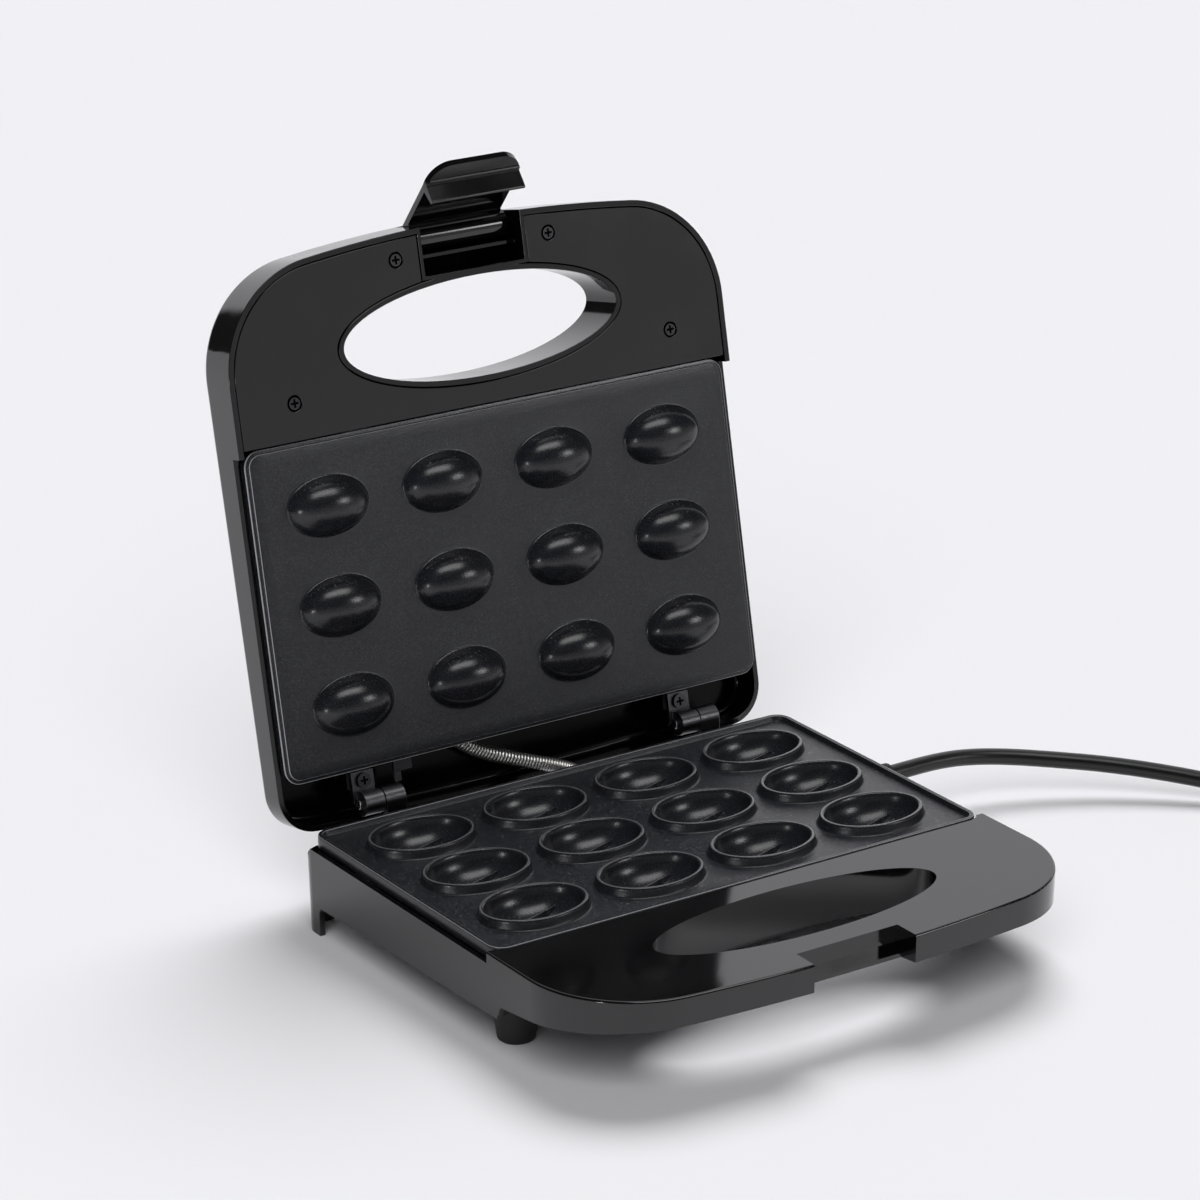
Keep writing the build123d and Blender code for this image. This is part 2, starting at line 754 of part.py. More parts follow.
lower_heating_element = heating_element(lower_tube_z)
finish(lower_heating_element, "lower_heating_element")
lower_element_clamps = element_clamps(plate_under - clamp_depth - clamp_sheet)
finish(lower_element_clamps, "lower_element_clamps")
lower_reflector = reflector(reflector_floor, 1)
finish(lower_reflector, "lower_reflector")

# Thermostat, thermal fuse and terminal block under the reflector
with BuildPart() as thermostat:
    with BuildSketch(Plane.XY.offset(reflector_floor)):
        with Locations((0, plate_y)):
            Circle(thermostat_radius)
    extrude(amount=-thermostat_height)
    fillet(thermostat.edges().group_by(Axis.Z)[0], thermostat_height / 5)
finish(thermostat, "thermostat")

with BuildPart() as thermal_fuse:
    with BuildSketch(Plane.YZ.offset(fuse_x)):
        with Locations((plate_y, reflector_floor - fuse_radius)):
            Circle(fuse_radius)
    extrude(amount=fuse_length)
    fillet(thermal_fuse.edges().filter_by(GeomType.CIRCLE), fuse_radius / 2)
finish(thermal_fuse, "thermal_fuse")

with BuildPart() as terminal_block:
    with BuildSketch(Plane.XY.offset(cover_top)):
        with Locations((block_x, cord_y)):
            Rectangle(block_length, block_width)
    extrude(amount=block_height)
    with BuildSketch(Plane.XY.offset(cover_top + block_height)):
        with Locations((block_x, cord_y)):
            with GridLocations(1, block_width / 3, 1, 3):
                Circle(screw_hole + cover_gap)
    extrude(amount=-block_height / 2, mode=Mode.SUBTRACT)
finish(terminal_block, "terminal_block")

# Two leads from the cord's end to the block, and one from the block to the thermostat
cord_start = half_width + gland_fit
lead_z = cord_z - block_height / 4
with BuildPart() as base_wiring:
    for side in (-1, 1):
        with BuildSketch(Plane.YZ.offset(cord_start)):
            with Locations((cord_y + side * wire_spacing / 2, cord_z)):
                Circle(wire_radius)
        extrude(amount=block_x + block_length / 2 - cord_start)
    with BuildLine() as lead_path:
        FilletPolyline(
            (block_x - block_length / 2, cord_y, lead_z),
            (block_x - 3 * block_length, cord_y, lead_z),
            (thermostat_radius + block_length, plate_y, lead_z),
            (thermostat_radius, plate_y, lead_z),
            radius=block_length / 2,
        )
    with BuildSketch(Plane(origin=lead_path.line @ 0, z_dir=lead_path.line % 0)):
        Circle(wire_radius)
    sweep(path=lead_path.line)
finish(base_wiring, "base_wiring")


def base_leaf(x):
    """Base half of a hinge: knuckle, web outside the rear wall, arm screwed inside it."""
    with BuildPart() as made:
        with BuildSketch(Plane.YZ.offset(x - base_knuckle / 2)):
            with Locations((hinge_y, hinge_z)):
                Circle(knuckle_radius)
            with Locations((base_rear + hinge_gap, arm_top - leaf_sheet)):
                Rectangle(web_sheet, hinge_z - arm_top + leaf_sheet, align=Align.MIN)
            arm_end = arm_screw_y - post_radius
            with Locations((arm_end, arm_top - leaf_sheet)):
                Rectangle(base_rear + hinge_gap + web_sheet - arm_end, leaf_sheet, align=Align.MIN)
            with Locations((hinge_y, hinge_z)):
                Circle(pin_radius + pin_fit, mode=Mode.SUBTRACT)
        extrude(amount=base_knuckle)
        with Locations((x, arm_screw_y, arm_top)):
            Cylinder(screw_hole, 3 * leaf_sheet, mode=Mode.SUBTRACT)
    return made


def lid_leaf(x):
    """Lid half of a hinge: knuckle and a tab screwed over the upper plate's rear tab."""
    with BuildPart() as made:
        with BuildSketch(Plane.YZ.offset(x - lid_knuckle / 2)):
            with Locations((hinge_y, hinge_z)):
                Circle(knuckle_radius)
        extrude(amount=lid_knuckle)
        with BuildSketch(Plane.XY.offset(leaf_under)):
            with Locations((x + leaf_shift, leaf_screw_y - leaf_reach)):
                Rectangle(
                    leaf_width, hinge_y - leaf_screw_y + leaf_reach, align=(Align.CENTER, Align.MIN)
                )
            with Locations((x + leaf_shift, leaf_screw_y)):
                Circle(screw_hole, mode=Mode.SUBTRACT)
        extrude(amount=leaf_sheet)
        with Locations(Location((x, hinge_y, hinge_z), (0, 90, 0))):
            Cylinder(pin_radius + pin_fit, 2 * lid_knuckle, mode=Mode.SUBTRACT)
    return made


def hinge_pin(x):
    """Pin through both knuckles, with a flat head at each end."""
    start = x - lid_knuckle / 2 - knuckle_gap
    length = lid_knuckle + base_knuckle + 3 * knuckle_gap
    with BuildPart() as made:
        with BuildSketch(Plane.YZ.offset(start)):
            with Locations((hinge_y, hinge_z)):
                Circle(pin_radius)
        extrude(amount=length)
        with BuildSketch(Plane.YZ.offset(start)):
            with Locations((hinge_y, hinge_z)):
                Circle(pin_head)
        extrude(amount=-pin_head_height)
        with BuildSketch(Plane.YZ.offset(start + length)):
            with Locations((hinge_y, hinge_z)):
                Circle(pin_head)
        extrude(amount=pin_head_height)
    return made


for side, x in zip(("left", "right"), hinge_places):
    finish(base_leaf(x + base_knuckle_shift), f"{side}_hinge_base_leaf")
    finish(lid_leaf(x), f"{side}_hinge_lid_leaf", lid=True)
    finish(hinge_pin(x), f"{side}_hinge_pin")

arm_screw = screw(leaf_sheet + screw_bite - part_gap)
with BuildPart() as base_hinge_screws:
    for x in hinge_places:
        with Locations(Location((x + base_knuckle_shift, arm_screw_y, arm_top), (180, 0, 0))):
            add(arm_screw)
finish(base_hinge_screws, "base_hinge_screws")


# Lid shell, modelled shut
with BuildPart() as lid_hollow:
    add(drafted_block(lid_outline, wall, lid_handle_rim, lid_front_top + lid_round))
    split(bisect_by=lid_top.offset(-wall), keep=Keep.BOTTOM)
    fillet(lid_hollow.faces().sort_by(Axis.Z)[-1].edges(), lid_round - wall)
    # Walls round the finger opening and the latch bay, and bosses
    with BuildSketch(Plane.XY.offset(lid_handle_rim)):
        with Locations((0, finger_y)):
            Ellipse(finger_length / 2 + wall, finger_width / 2 + wall)
        with Locations((0, lid_notch_rear + notch_wall)):
            Rectangle(
                2 * (notch_half + notch_wall), lid_notch_depth + notch_wall, align=(Align.CENTER, Align.MAX)
            )
        with Locations(*mirrored_pairs(lid_screws)):
            Circle(post_radius)
        for x in hinge_places:
            with Locations((x + leaf_shift, leaf_screw_y)):
                Circle(post_radius)
        with Locations(*mirrored_pairs(((tongue_x, tongue_rib_y),))):
            Rectangle(tongue_width, notch_wall)
    extrude(amount=lid_front_top, mode=Mode.SUBTRACT)

with BuildPart() as handle_pocket:
    add(drafted_block(lid_outline, wall, lid_handle_rim, inner_cover_top))
    with BuildSketch(Plane.XY.offset(lid_handle_rim)):
        with Locations((0, finger_y)):
            Ellipse(finger_length / 2 + wall, finger_width / 2 + wall)
        with Locations((0, lid_notch_rear + notch_wall)):
            Rectangle(
                2 * (notch_half + notch_wall), 2 * lid_notch_depth, align=(Align.CENTER, Align.MAX)
            )
    extrude(amount=lid_front_top, mode=Mode.SUBTRACT)

with BuildPart() as plate_pocket:
    add(drafted_block(lid_outline, wall, lid_handle_rim, tab_top))
    split(bisect_by=Plane.XZ.offset(-plate_front + tongue_reach + part_gap), keep=Keep.BOTTOM)

with BuildPart() as lid_shell:
    add(drafted_block(lid_outline, 0, lid_handle_rim, lid_front_top + lid_round))
    split(bisect_by=lid_top, keep=Keep.BOTTOM)
    fillet(lid_shell.faces().sort_by(Axis.Z)[-1].edges(), lid_round)
    add(lid_hollow.part, mode=Mode.SUBTRACT)
    with BuildSketch(Plane.XY.offset(lid_handle_rim)):
        with Locations((0, finger_y)):
            Ellipse(finger_length / 2, finger_width / 2)
    extrude(amount=lid_front_top, mode=Mode.SUBTRACT)
    # Latch bay, with a rib behind the latch's hub
    for bottom, clear in ((lid_handle_rim, bay_rib_under), (bay_rib_under, bay_top)):
        with BuildSketch(Plane.XY.offset(bottom)):
            with Locations((0, lid_notch_rear)):
                Rectangle(2 * notch_half, 2 * lid_notch_depth, align=(Align.CENTER, Align.MAX))
            if clear == bay_top:
                with Locations((0, bay_rib_y)):
                    Rectangle(2 * notch_half, bay_rib, mode=Mode.SUBTRACT)
        extrude(amount=clear - bottom, mode=Mode.SUBTRACT)
    with Locations(Location((0, latch_y, latch_z), (0, 90, 0))):
        Cylinder(pin_radius + pin_fit, 2 * (notch_half + 2 * notch_wall), mode=Mode.SUBTRACT)
    # Boss ends: over the inner cover at the handle, over the plate's tabs behind it
    add(handle_pocket.part, mode=Mode.SUBTRACT)
    add(plate_pocket.part, mode=Mode.SUBTRACT)
    # The side and rear walls stop higher than the handle's rim
    with BuildSketch(Plane.YZ):
        with BuildLine():
            Polyline(
                (handle_rear, lid_handle_rim - wall),
                (handle_rear, lid_side_rim),
                (lid_rear - wall, lid_side_rim),
                (lid_rear, lid_rear_rim),
                (lid_rear + wall, lid_rear_rim),
                (lid_rear + wall, lid_handle_rim - wall),
                close=True,
            )
        make_face()
    extrude(amount=half_width + wall, both=True, mode=Mode.SUBTRACT)
    # Screw holes and lamp holes
    with Locations(*[(x, y, inner_cover_top) for x, y in mirrored_pairs(lid_screws)]):
        Cylinder(screw_hole, 2 * screw_bite, mode=Mode.SUBTRACT)
    with Locations(*[(x + leaf_shift, leaf_screw_y, tab_top) for x in hinge_places]):
        Cylinder(screw_hole, 2 * screw_bite, mode=Mode.SUBTRACT)
    with BuildSketch(Plane.XY.offset(upper_reflector)):
        with Locations(*mirrored_pairs(((lamp_x, lamp_y),))):
            Circle(lens_radius + lens_fit)
    extrude(amount=lid_front_top, mode=Mode.SUBTRACT)
finish(lid_shell, "lid_shell", lid=True)

# Cover of the lid handle's inner side
with BuildPart() as lid_inner_cover:
    with BuildSketch(Plane.XY.offset(inner_cover_z)):
        add(lid_outline)
        offset(amount=-wall - cover_gap)
        with Locations((0, plate_front - part_gap)):
            Rectangle(
                3 * half_width, 2 * plate_depth, align=(Align.CENTER, Align.MIN), mode=Mode.SUBTRACT
            )
        with Locations((0, finger_y)):
            Ellipse(
                finger_length / 2 + wall + cover_gap,
                finger_width / 2 + wall + cover_gap,
                mode=Mode.SUBTRACT,
            )
        with Locations((0, lid_notch_rear + notch_wall + cover_gap)):
            Rectangle(
                2 * (notch_half + notch_wall + cover_gap),
                2 * lid_notch_depth,
                align=(Align.CENTER, Align.MAX),
                mode=Mode.SUBTRACT,
            )
        with Locations(*mirrored_pairs(lid_screws)):
            Circle(screw_hole, mode=Mode.SUBTRACT)
    extrude(amount=cover_sheet)
    with BuildSketch(Plane.XY.offset(inner_cover_z)):
        with Locations(*mirrored_pairs(lid_screws)):
            Circle(head_radius + head_room)
    extrude(amount=head_height, mode=Mode.SUBTRACT)
finish(lid_inner_cover, "lid_inner_cover", lid=True)

with BuildPart() as lid_cover_screws:
    with Locations(*[(x, y, inner_cover_z + head_height) for x, y in mirrored_pairs(lid_screws)]):
        add(cover_screw)
finish(lid_cover_screws, "lid_cover_screws", lid=True)

tab_screw = screw(leaf_sheet + tab_sheet + screw_bite - part_gap)
with BuildPart() as lid_hinge_screws:
    with Locations(*[(x + leaf_shift, leaf_screw_y, leaf_under) for x in hinge_places]):
        add(tab_screw)
finish(lid_hinge_screws, "lid_hinge_screws", lid=True)

# Upper plate: slab with a dome over each bowl, tongues in front and tabs at the hinges
dome = split(nut_shape(dome_length, dome_width, dome_height), Plane.XY, keep=Keep.BOTTOM)
with BuildPart() as upper_plate:
    with BuildSketch(Plane.XY.offset(upper_face)):
        with Locations((0, plate_y)):
            RectangleRounded(plate_width, plate_depth, plate_radius)
    extrude(amount=upper_thickness)
    with Locations((0, plate_y, upper_face)):
        with GridLocations(column_pitch, row_pitch, columns, rows):
            add(dome)
    with BuildSketch(Plane.XY.offset(tab_under)):
        with Locations(*mirrored_pairs(((tongue_x, plate_front + tongue_reach),))):
            Rectangle(tongue_width, 2 * tongue_reach, align=(Align.CENTER, Align.MAX))
        for x in hinge_places:
            with Locations((x + leaf_shift, plate_rear - tongue_reach)):
                Rectangle(
                    leaf_width,
                    leaf_screw_y + leaf_reach - plate_rear + tongue_reach,
                    align=(Align.CENTER, Align.MIN),
                )
    extrude(amount=tab_sheet)
    with Locations(*[(x + leaf_shift, leaf_screw_y, tab_top) for x in hinge_places]):
        Cylinder(screw_hole, 3 * tab_sheet, mode=Mode.SUBTRACT)
    for places, end, sheet in upper_stays:
        for radius, reach in ((stay_radius, 0), (stake_radius, sheet + stake_proud)):
            with BuildSketch(Plane.XY.offset(upper_top)):
                with Locations(*places):
                    Circle(radius)
            extrude(amount=end + reach)
finish(upper_plate, "upper_plate", lid=True)

upper_heating_element = heating_element(upper_tube_z)
finish(upper_heating_element, "upper_heating_element", lid=True)
upper_element_clamps = element_clamps(upper_top + clamp_depth)
finish(upper_element_clamps, "upper_element_clamps", lid=True)
upper_reflector_pan = reflector(upper_reflector + reflector_sheet, -1)
finish(upper_reflector_pan, "upper_reflector", lid=True)

# Two small lenses in the lid's outer face, with a lamp behind each
lens_top = lid_front_top - (lamp_y - front_edge) * math.tan(top_angle) + lens_proud
for name, side in (("power_lamp_lens", -1), ("ready_lamp_lens", 1)):
    with BuildPart() as lens:
        with BuildSketch(Plane.XY.offset(lens_top)):
            with Locations((side * lamp_x, lamp_y)):
                Circle(lens_radius)
        extrude(amount=-lens_depth)
        fillet(lens.edges().group_by(Axis.Z)[-1], lens_proud / 2)
    finish(lens, name, lid=True)

with BuildPart() as neon_lamps:
    with BuildSketch(Plane.XY.offset(lens_top - lens_depth)):
        with Locations(*mirrored_pairs(((lamp_x, lamp_y),))):
            Circle(neon_radius)
    extrude(amount=-neon_length)
    fillet(neon_lamps.edges().group_by(Axis.Z)[0], neon_radius / 2)
finish(neon_lamps, "neon_lamps", lid=True)

# Latch: hub, plate with a flared tip, a finger ridge, and the hook that goes under the base's lip
latch_face = latch_y - latch_hub
latch_inner = latch_face + latch_sheet
latch_tip = lip_bottom - latch_tail
hook_top = lip_bottom - hook_gap
hook_nose = hook_sheet / 2
hook_end = lip_front + hook_catch - hook_nose
ridge_z = hook_top - ridge_drop
ridge_y = latch_inner - latch_flare * (latch_tip + latch_flare_length - ridge_z) / latch_flare_length
with BuildPart() as latch:
    with BuildSketch(Plane.YZ.offset(-latch_half)):
        with BuildLine():
            Polyline(
                (latch_face, latch_z),
                (latch_face, latch_tip + latch_flare_length),
                (latch_face - latch_flare, latch_tip),
                (latch_inner - latch_flare, latch_tip),
                (latch_inner, latch_tip + latch_flare_length),
                (latch_inner, latch_z),
                close=True,
            )
        make_face()
        with BuildLine():
            Polyline(
                (latch_inner - latch_sheet / 2, hook_top),
                (hook_end, hook_top),
                (hook_end, hook_top - hook_sheet),
                (latch_inner - latch_sheet / 2, hook_top - hook_root),
                close=True,
            )
        make_face()
        with Locations((hook_end, hook_top - hook_nose)):
            Circle(hook_nose)
        with Locations((ridge_y, ridge_z)):
            Circle(ridge_radius)
        with Locations((latch_y, latch_z)):
            Circle(latch_hub)
            Circle(pin_radius + pin_fit, mode=Mode.SUBTRACT)
    extrude(amount=2 * latch_half)
    with BuildSketch(Plane.XZ.offset(-latch_y - 2 * latch_hub)) as latch_front:
        with Locations((0, latch_tip)):
            Rectangle(
                2 * latch_half, latch_z + 2 * latch_hub - latch_tip, align=(Align.CENTER, Align.MIN)
            )
        fillet(latch_front.vertices().group_by(Axis.Y)[0], latch_tip_radius)
    extrude(amount=6 * latch_hub, mode=Mode.INTERSECT)
latch.part = latch.part.rotate(latch_swing, -latch_open)
finish(latch, "latch", lid=True)

with BuildPart() as latch_pin:
    with BuildSketch(Plane.YZ.offset(-notch_half - notch_wall)):
        with Locations((latch_y, latch_z)):
            Circle(pin_radius)
    extrude(amount=2 * (notch_half + notch_wall))
finish(latch_pin, "latch_pin", lid=True)


def biarc(start, start_way, end, end_way):
    """Two tangent arcs from a point and direction to another."""
    span = end - start
    a = 2 * (1 - start_way.dot(end_way))
    b = span.dot(start_way + end_way)
    reach = (math.sqrt(b * b + a * span.dot(span)) - b) / a if a > 1e-9 else span.dot(span) / (2 * b)
    middle = (start + start_way * reach + end - end_way * reach) / 2
    middle_way = ((end - end_way * reach) - (start + start_way * reach)).normalized()
    return [
        Edge.make_tangent_arc(start, start_way, middle),
        Edge.make_tangent_arc(middle, middle_way, end),
    ]


def wound_path(place, ends, pieces, straight):
    """Chain of biarcs through a curve given by its place at each value, with straight ends."""
    low, high = ends
    small = (high - low) / 1e4
    stations = [low + (high - low) * i / pieces for i in range(pieces + 1)]
    points = [place(t) for t in stations]
    ways = [
        (place(min(t + small, high)) - place(max(t - small, low))).normalized() for t in stations
    ]
    edges = [Edge.make_line(points[0] - ways[0] * straight, points[0])]
    for i in range(pieces):
        edges += biarc(points[i], ways[i], points[i + 1], ways[i + 1])
    edges.append(Edge.make_line(points[-1], points[-1] + ways[-1] * straight))
    return edges


def least_gap(edges, thickness, apart):
    """Smallest clear distance between stretches of a tube that lie some length apart."""
    points = []
    lengths = []
    run = 0
    for edge in edges:
        steps = max(2, round(edge.length / thickness * 3))
        for i in range(steps):
            points.append(edge @ (i / steps))
            lengths.append(run + edge.length * i / steps)
        run += edge.length
    return min(
        (points[i] - points[j]).length - thickness
        for i in range(len(points))
        for j in range(i)
        if lengths[i] - lengths[j] > apart
    )


# Sleeve of wound wire over the leads between lid and base, along one cubic curve
sleeve_line = Edge.make_bezier(
    (sleeve_end_x - 48.5, plate_y + 95.2, ring_top + 11.2),
    (sleeve_end_x - 38.1, plate_y + 86.5, ring_top - 2.9),
    (sleeve_end_x, plate_y + 84.5, ring_top - 6.1),
    (sleeve_end_x, plate_y + 69.5, sleeve_end_z),
)


def sleeve_place(t):
    """Middle of the wire at a share of the sleeve's length."""
    way = sleeve_line % t
    across = way.cross(Vector(0, 0, 1)).normalized()
    turn = 2 * math.pi * sleeve_turns * t
    return sleeve_line @ t + (across * math.cos(turn) + across.cross(way) * math.sin(turn)) * sleeve_radius


sleeve_edges = wound_path(sleeve_place, (0, 1), 4 * sleeve_turns, 2 * sleeve_wire)
print("sleeve gap mm", round(least_gap(sleeve_edges, 2 * sleeve_wire, 3 * sleeve_radius), 3))
with BuildPart() as conduit_spring:
    with BuildLine() as sleeve_path:
        add(sleeve_edges)
    with BuildSketch(Plane(origin=sleeve_path.line @ 0, z_dir=sleeve_path.line % 0)):
        RegularPolygon(sleeve_wire, 6)
    sweep(path=sleeve_path.line, clean=False)
finish(conduit_spring, "conduit_spring")

# Gland in the right side wall
gland_face = half_width - gland_seat
with BuildPart() as cord_gland:
    with BuildSketch(Plane.YZ.offset(half_width - wall - gland_draw)):
        with Locations((cord_y, cord_z)):
            Circle(gland_flange)
    extrude(amount=-gland_sheet)
    with BuildSketch(Plane.YZ.offset(half_width - 2 * wall)):
        with Locations((cord_y, cord_z)):
            Circle(gland_neck)
    extrude(amount=3 * wall)
    with BuildSketch(Plane.YZ.offset(gland_face)):
        with Locations((cord_y, cord_z)):
            Circle(gland_radius)
    extrude(
        amount=gland_length, taper=math.degrees(math.atan((gland_radius - gland_tip) / gland_length))
    )
    with BuildSketch(Plane.YZ.offset(half_width - 3 * wall)):
        with Locations((cord_y, cord_z)):
            Circle(cord_radius + gland_fit)
    extrude(amount=2 * gland_length, mode=Mode.SUBTRACT)
finish(cord_gland, "cord_gland")

# Coil of cord on the table: in along the lower layer, up in the half turn where it reverses, out on top
coil_angle = math.radians(coil_heading)
coil_left = Vector(-math.sin(coil_angle), math.cos(coil_angle))
coil_middle = Vector(*coil_start, cord_radius) + coil_left * coil_radius
coil_rate = coil_step / (2 * math.pi)
coil_reverse = 2 * math.pi * coil_layer_turns
coil_end = 2 * coil_reverse + math.pi


def coil_place(turn):
    """Middle of the cord at an angle run through from the coil's start."""
    inner = coil_radius - coil_rate * coil_reverse
    u = min(max((turn - coil_reverse) / math.pi, 0), 1)
    if u <= 0:
        radius = coil_radius - coil_rate * turn
    elif u < 1:
        radius = inner - coil_rate * math.pi * u * (1 - u)
    else:
        radius = inner + coil_rate * (turn - coil_reverse - math.pi)
    rise = coil_layer * (1 - math.cos(math.pi * u)) / 2
    angle = coil_angle - math.pi / 2 + turn
    return coil_middle + Vector(radius * math.cos(angle), radius * math.sin(angle), rise)


def across_way(path):
    """Plane square to a path's start, with its x axis level."""
    way = path % 0
    return Plane(origin=path @ 0, x_dir=(-way.Y, way.X, 0), z_dir=way)


coil_edges = wound_path(coil_place, (0, coil_end), coil_biarcs, 2 * cord_radius)
coil_corner = math.sqrt(2 * math.pi * cord_radius**2 / (coil_sides * math.sin(2 * math.pi / coil_sides)))
print("coil gap mm", round(least_gap(coil_edges, 2 * coil_corner, 4 * coil_radius), 3))
with BuildPart() as cord_coil:
    with BuildLine() as coil_path:
        add(coil_edges)
    with BuildSketch(across_way(coil_path.line)):
        RegularPolygon(coil_corner, coil_sides, rotation=180 / coil_sides)
    sweep(path=coil_path.line, clean=False)
finish(cord_coil, "cord_coil")


def cord_run(points, name):
    """Tube along straight runs joined by arcs as large as the runs allow."""
    radii = []
    for a, b, c in zip(points, points[1:], points[2:]):
        before, after = b - a, c - b
        half_turn = math.radians(before.get_angle(after)) / 2
        radii.append(cord_bend_share * min(before.length, after.length) / math.tan(half_turn))
    print(name, "points mm", [tuple(round(v, 2) for v in point) for point in points])
    print(name, "radii mm", [round(r) for r in radii])
    with BuildPart() as made:
        with BuildLine() as path:
            FilletPolyline(*points, radius=radii)
        with BuildSketch(across_way(path.line)):
            Circle(cord_radius)
        sweep(path=path.line)
    length = sum(edge.length for edge in path.edges())
    share = made.part.volume / (math.pi * cord_radius**2 * length)
    print(name, "length mm", round(length, 1), "volume share", round(share, 4))
    return made


# Free stretch from the gland to the coil
lead_points = [
    (cord_start, 0.0, 0.0),
    (137.4, 0.0, 0.0),
    (160.5, 1.6, -0.7),
    (177.0, 0.2, -2.2),
    (193.0, -5.0, -4.2),
    (209.0, -13.5, -6.3),
    (228.0, -26.0, -8.5),
    (248.0, -44.0, -11.3),
    (266.0, -64.0, -14.5),
]
coil_in = coil_path.line @ 0
coil_out = coil_path.line @ 1
lead_route = [Vector(x, cord_y + y, cord_z + z) for x, y, z in lead_points]
lead_route += [coil_in - (coil_path.line % 0) * last_run, coil_in]
cord_lead = cord_run(lead_route, "cord_lead")
finish(cord_lead, "cord_lead")

# Tail from the coil to the plug, which lies on the table
tail_route = [coil_out, coil_out + (coil_path.line % 1) * last_run]
heading = coil_angle + coil_end
for i in range(tail_bends):
    heading += math.radians(tail_turn)
    share = min((i + 1) / (tail_bends - 1), 1)
    step = Vector(math.cos(heading), math.sin(heading)) * last_run
    height = coil_out.Z + (plug_height / 2 - coil_out.Z) * share
    tail_route.append(Vector(tail_route[-1].X + step.X, tail_route[-1].Y + step.Y, height))
cord_tail = cord_run(tail_route, "cord_tail")
finish(cord_tail, "cord_tail")

plug_way = (tail_route[-1] - tail_route[-2]).normalized()
plug_plane = Plane(origin=tail_route[-1], x_dir=(-plug_way.Y, plug_way.X, 0), z_dir=plug_way)
with BuildPart() as plug_body:
    with BuildSketch(plug_plane):
        Circle(plug_neck_tip)
    with BuildSketch(plug_plane.offset(plug_neck)):
        Circle(plug_neck_radius)
    loft(ruled=True)
    with BuildSketch(plug_plane.offset(plug_neck)):
        RectangleRounded(plug_width / 2, plug_height / 2, plug_round / 2)
    with BuildSketch(plug_plane.offset(plug_neck + plug_length / 2)):
        RectangleRounded(plug_width, plug_height, plug_round)
    loft(ruled=True)
    with BuildSketch(plug_plane.offset(plug_neck + plug_length / 2)):
        RectangleRounded(plug_width, plug_height, plug_round)
    extrude(amount=plug_length / 2)
finish(plug_body, "plug_body")

with BuildPart() as plug_pins:
    with BuildSketch(plug_plane.offset(plug_neck + plug_length)):
        with GridLocations(prong_spacing, 1, 2, 1):
            Circle(prong_radius)
    extrude(amount=prong_length)
    prong_tips = plug_pins.faces().sort_by(Axis(plug_plane.origin, plug_plane.z_dir))[-2:]
    fillet(prong_tips.edges(), prong_radius / 2)
finish(plug_pins, "plug_pins")
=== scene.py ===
# %% [markdown]
# # An electric maker for nut-shaped cookies
# The lid stands open behind a base with twelve bowls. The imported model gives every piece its
# size and place, so it is loaded first and nothing is fitted by eye afterwards.
# The pieces' lengths are written in millimetres and turned into metres when a mesh is made.
# The camera, the lamps and the scales of the textures are in metres.

# %% The frame
import math
import bmesh
import bpy
import numpy as np
from mathutils import Matrix, Vector


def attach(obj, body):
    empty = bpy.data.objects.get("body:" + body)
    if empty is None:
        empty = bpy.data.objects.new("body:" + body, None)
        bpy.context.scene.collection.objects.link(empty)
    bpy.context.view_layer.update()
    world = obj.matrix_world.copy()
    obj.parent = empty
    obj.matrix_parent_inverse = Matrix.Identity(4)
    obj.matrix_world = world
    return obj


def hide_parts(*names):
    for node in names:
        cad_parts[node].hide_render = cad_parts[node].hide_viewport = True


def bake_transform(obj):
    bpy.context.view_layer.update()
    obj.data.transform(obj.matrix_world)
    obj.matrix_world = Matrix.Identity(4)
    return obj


def add_object(name, data):
    """Object made of some data and linked to the scene."""
    made = bpy.data.objects.new(name, data)
    bpy.context.scene.collection.objects.link(made)
    return made


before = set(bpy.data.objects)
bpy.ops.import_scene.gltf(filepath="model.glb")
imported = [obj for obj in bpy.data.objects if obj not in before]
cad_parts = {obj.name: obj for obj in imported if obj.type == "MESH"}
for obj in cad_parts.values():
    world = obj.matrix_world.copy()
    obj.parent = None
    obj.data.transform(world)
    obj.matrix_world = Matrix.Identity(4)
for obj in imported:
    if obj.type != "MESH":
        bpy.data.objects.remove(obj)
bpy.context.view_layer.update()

# %% [markdown]
# ## Camera
# A long lens keeps the sides of the housing nearly parallel, as in a catalogue picture. The
# place follows from the point looked at, the two viewing angles and the distance.

# %% Camera
azimuth, elevation, roll = (math.radians(a) for a in (-33.935, 20.208, -0.096))
looked_at = Vector((0.12168, 0.21062, 0.0415))
distance = 1.951
back = Vector((
    math.sin(azimuth) * math.cos(elevation),
    -math.cos(azimuth) * math.cos(elevation),
    math.sin(elevation),
))
side = Vector((0, 0, 1)).cross(back).normalized()
rise = back.cross(side)
turned_side = side * math.cos(roll) + rise * math.sin(roll)
turned_rise = rise * math.cos(roll) - side * math.sin(roll)
lens = bpy.data.cameras.new("camera")
lens.sensor_width = 36
lens.lens = 134.27
lens.clip_end = 50
camera = add_object("camera", lens)
turn = Matrix((turned_side, turned_rise, back)).transposed().to_4x4()
camera.matrix_world = Matrix.Translation(looked_at + back * distance) @ turn
bpy.context.scene.camera = camera
print("camera at", [round(v, 3) for v in camera.matrix_world.translation])

# %% [markdown]
# ## Cord
# A mains cord hangs from its gland and lies in an easy curve. It could be a tube mesh, but the
# length and route of a curve are easier to change. A NURBS curve of order 3 passes smoothly by
# a few control points and its bevel gives the round sheath. The stretch that the picture
# leaves out is wound into a coil beside the maker, one layer on the other.

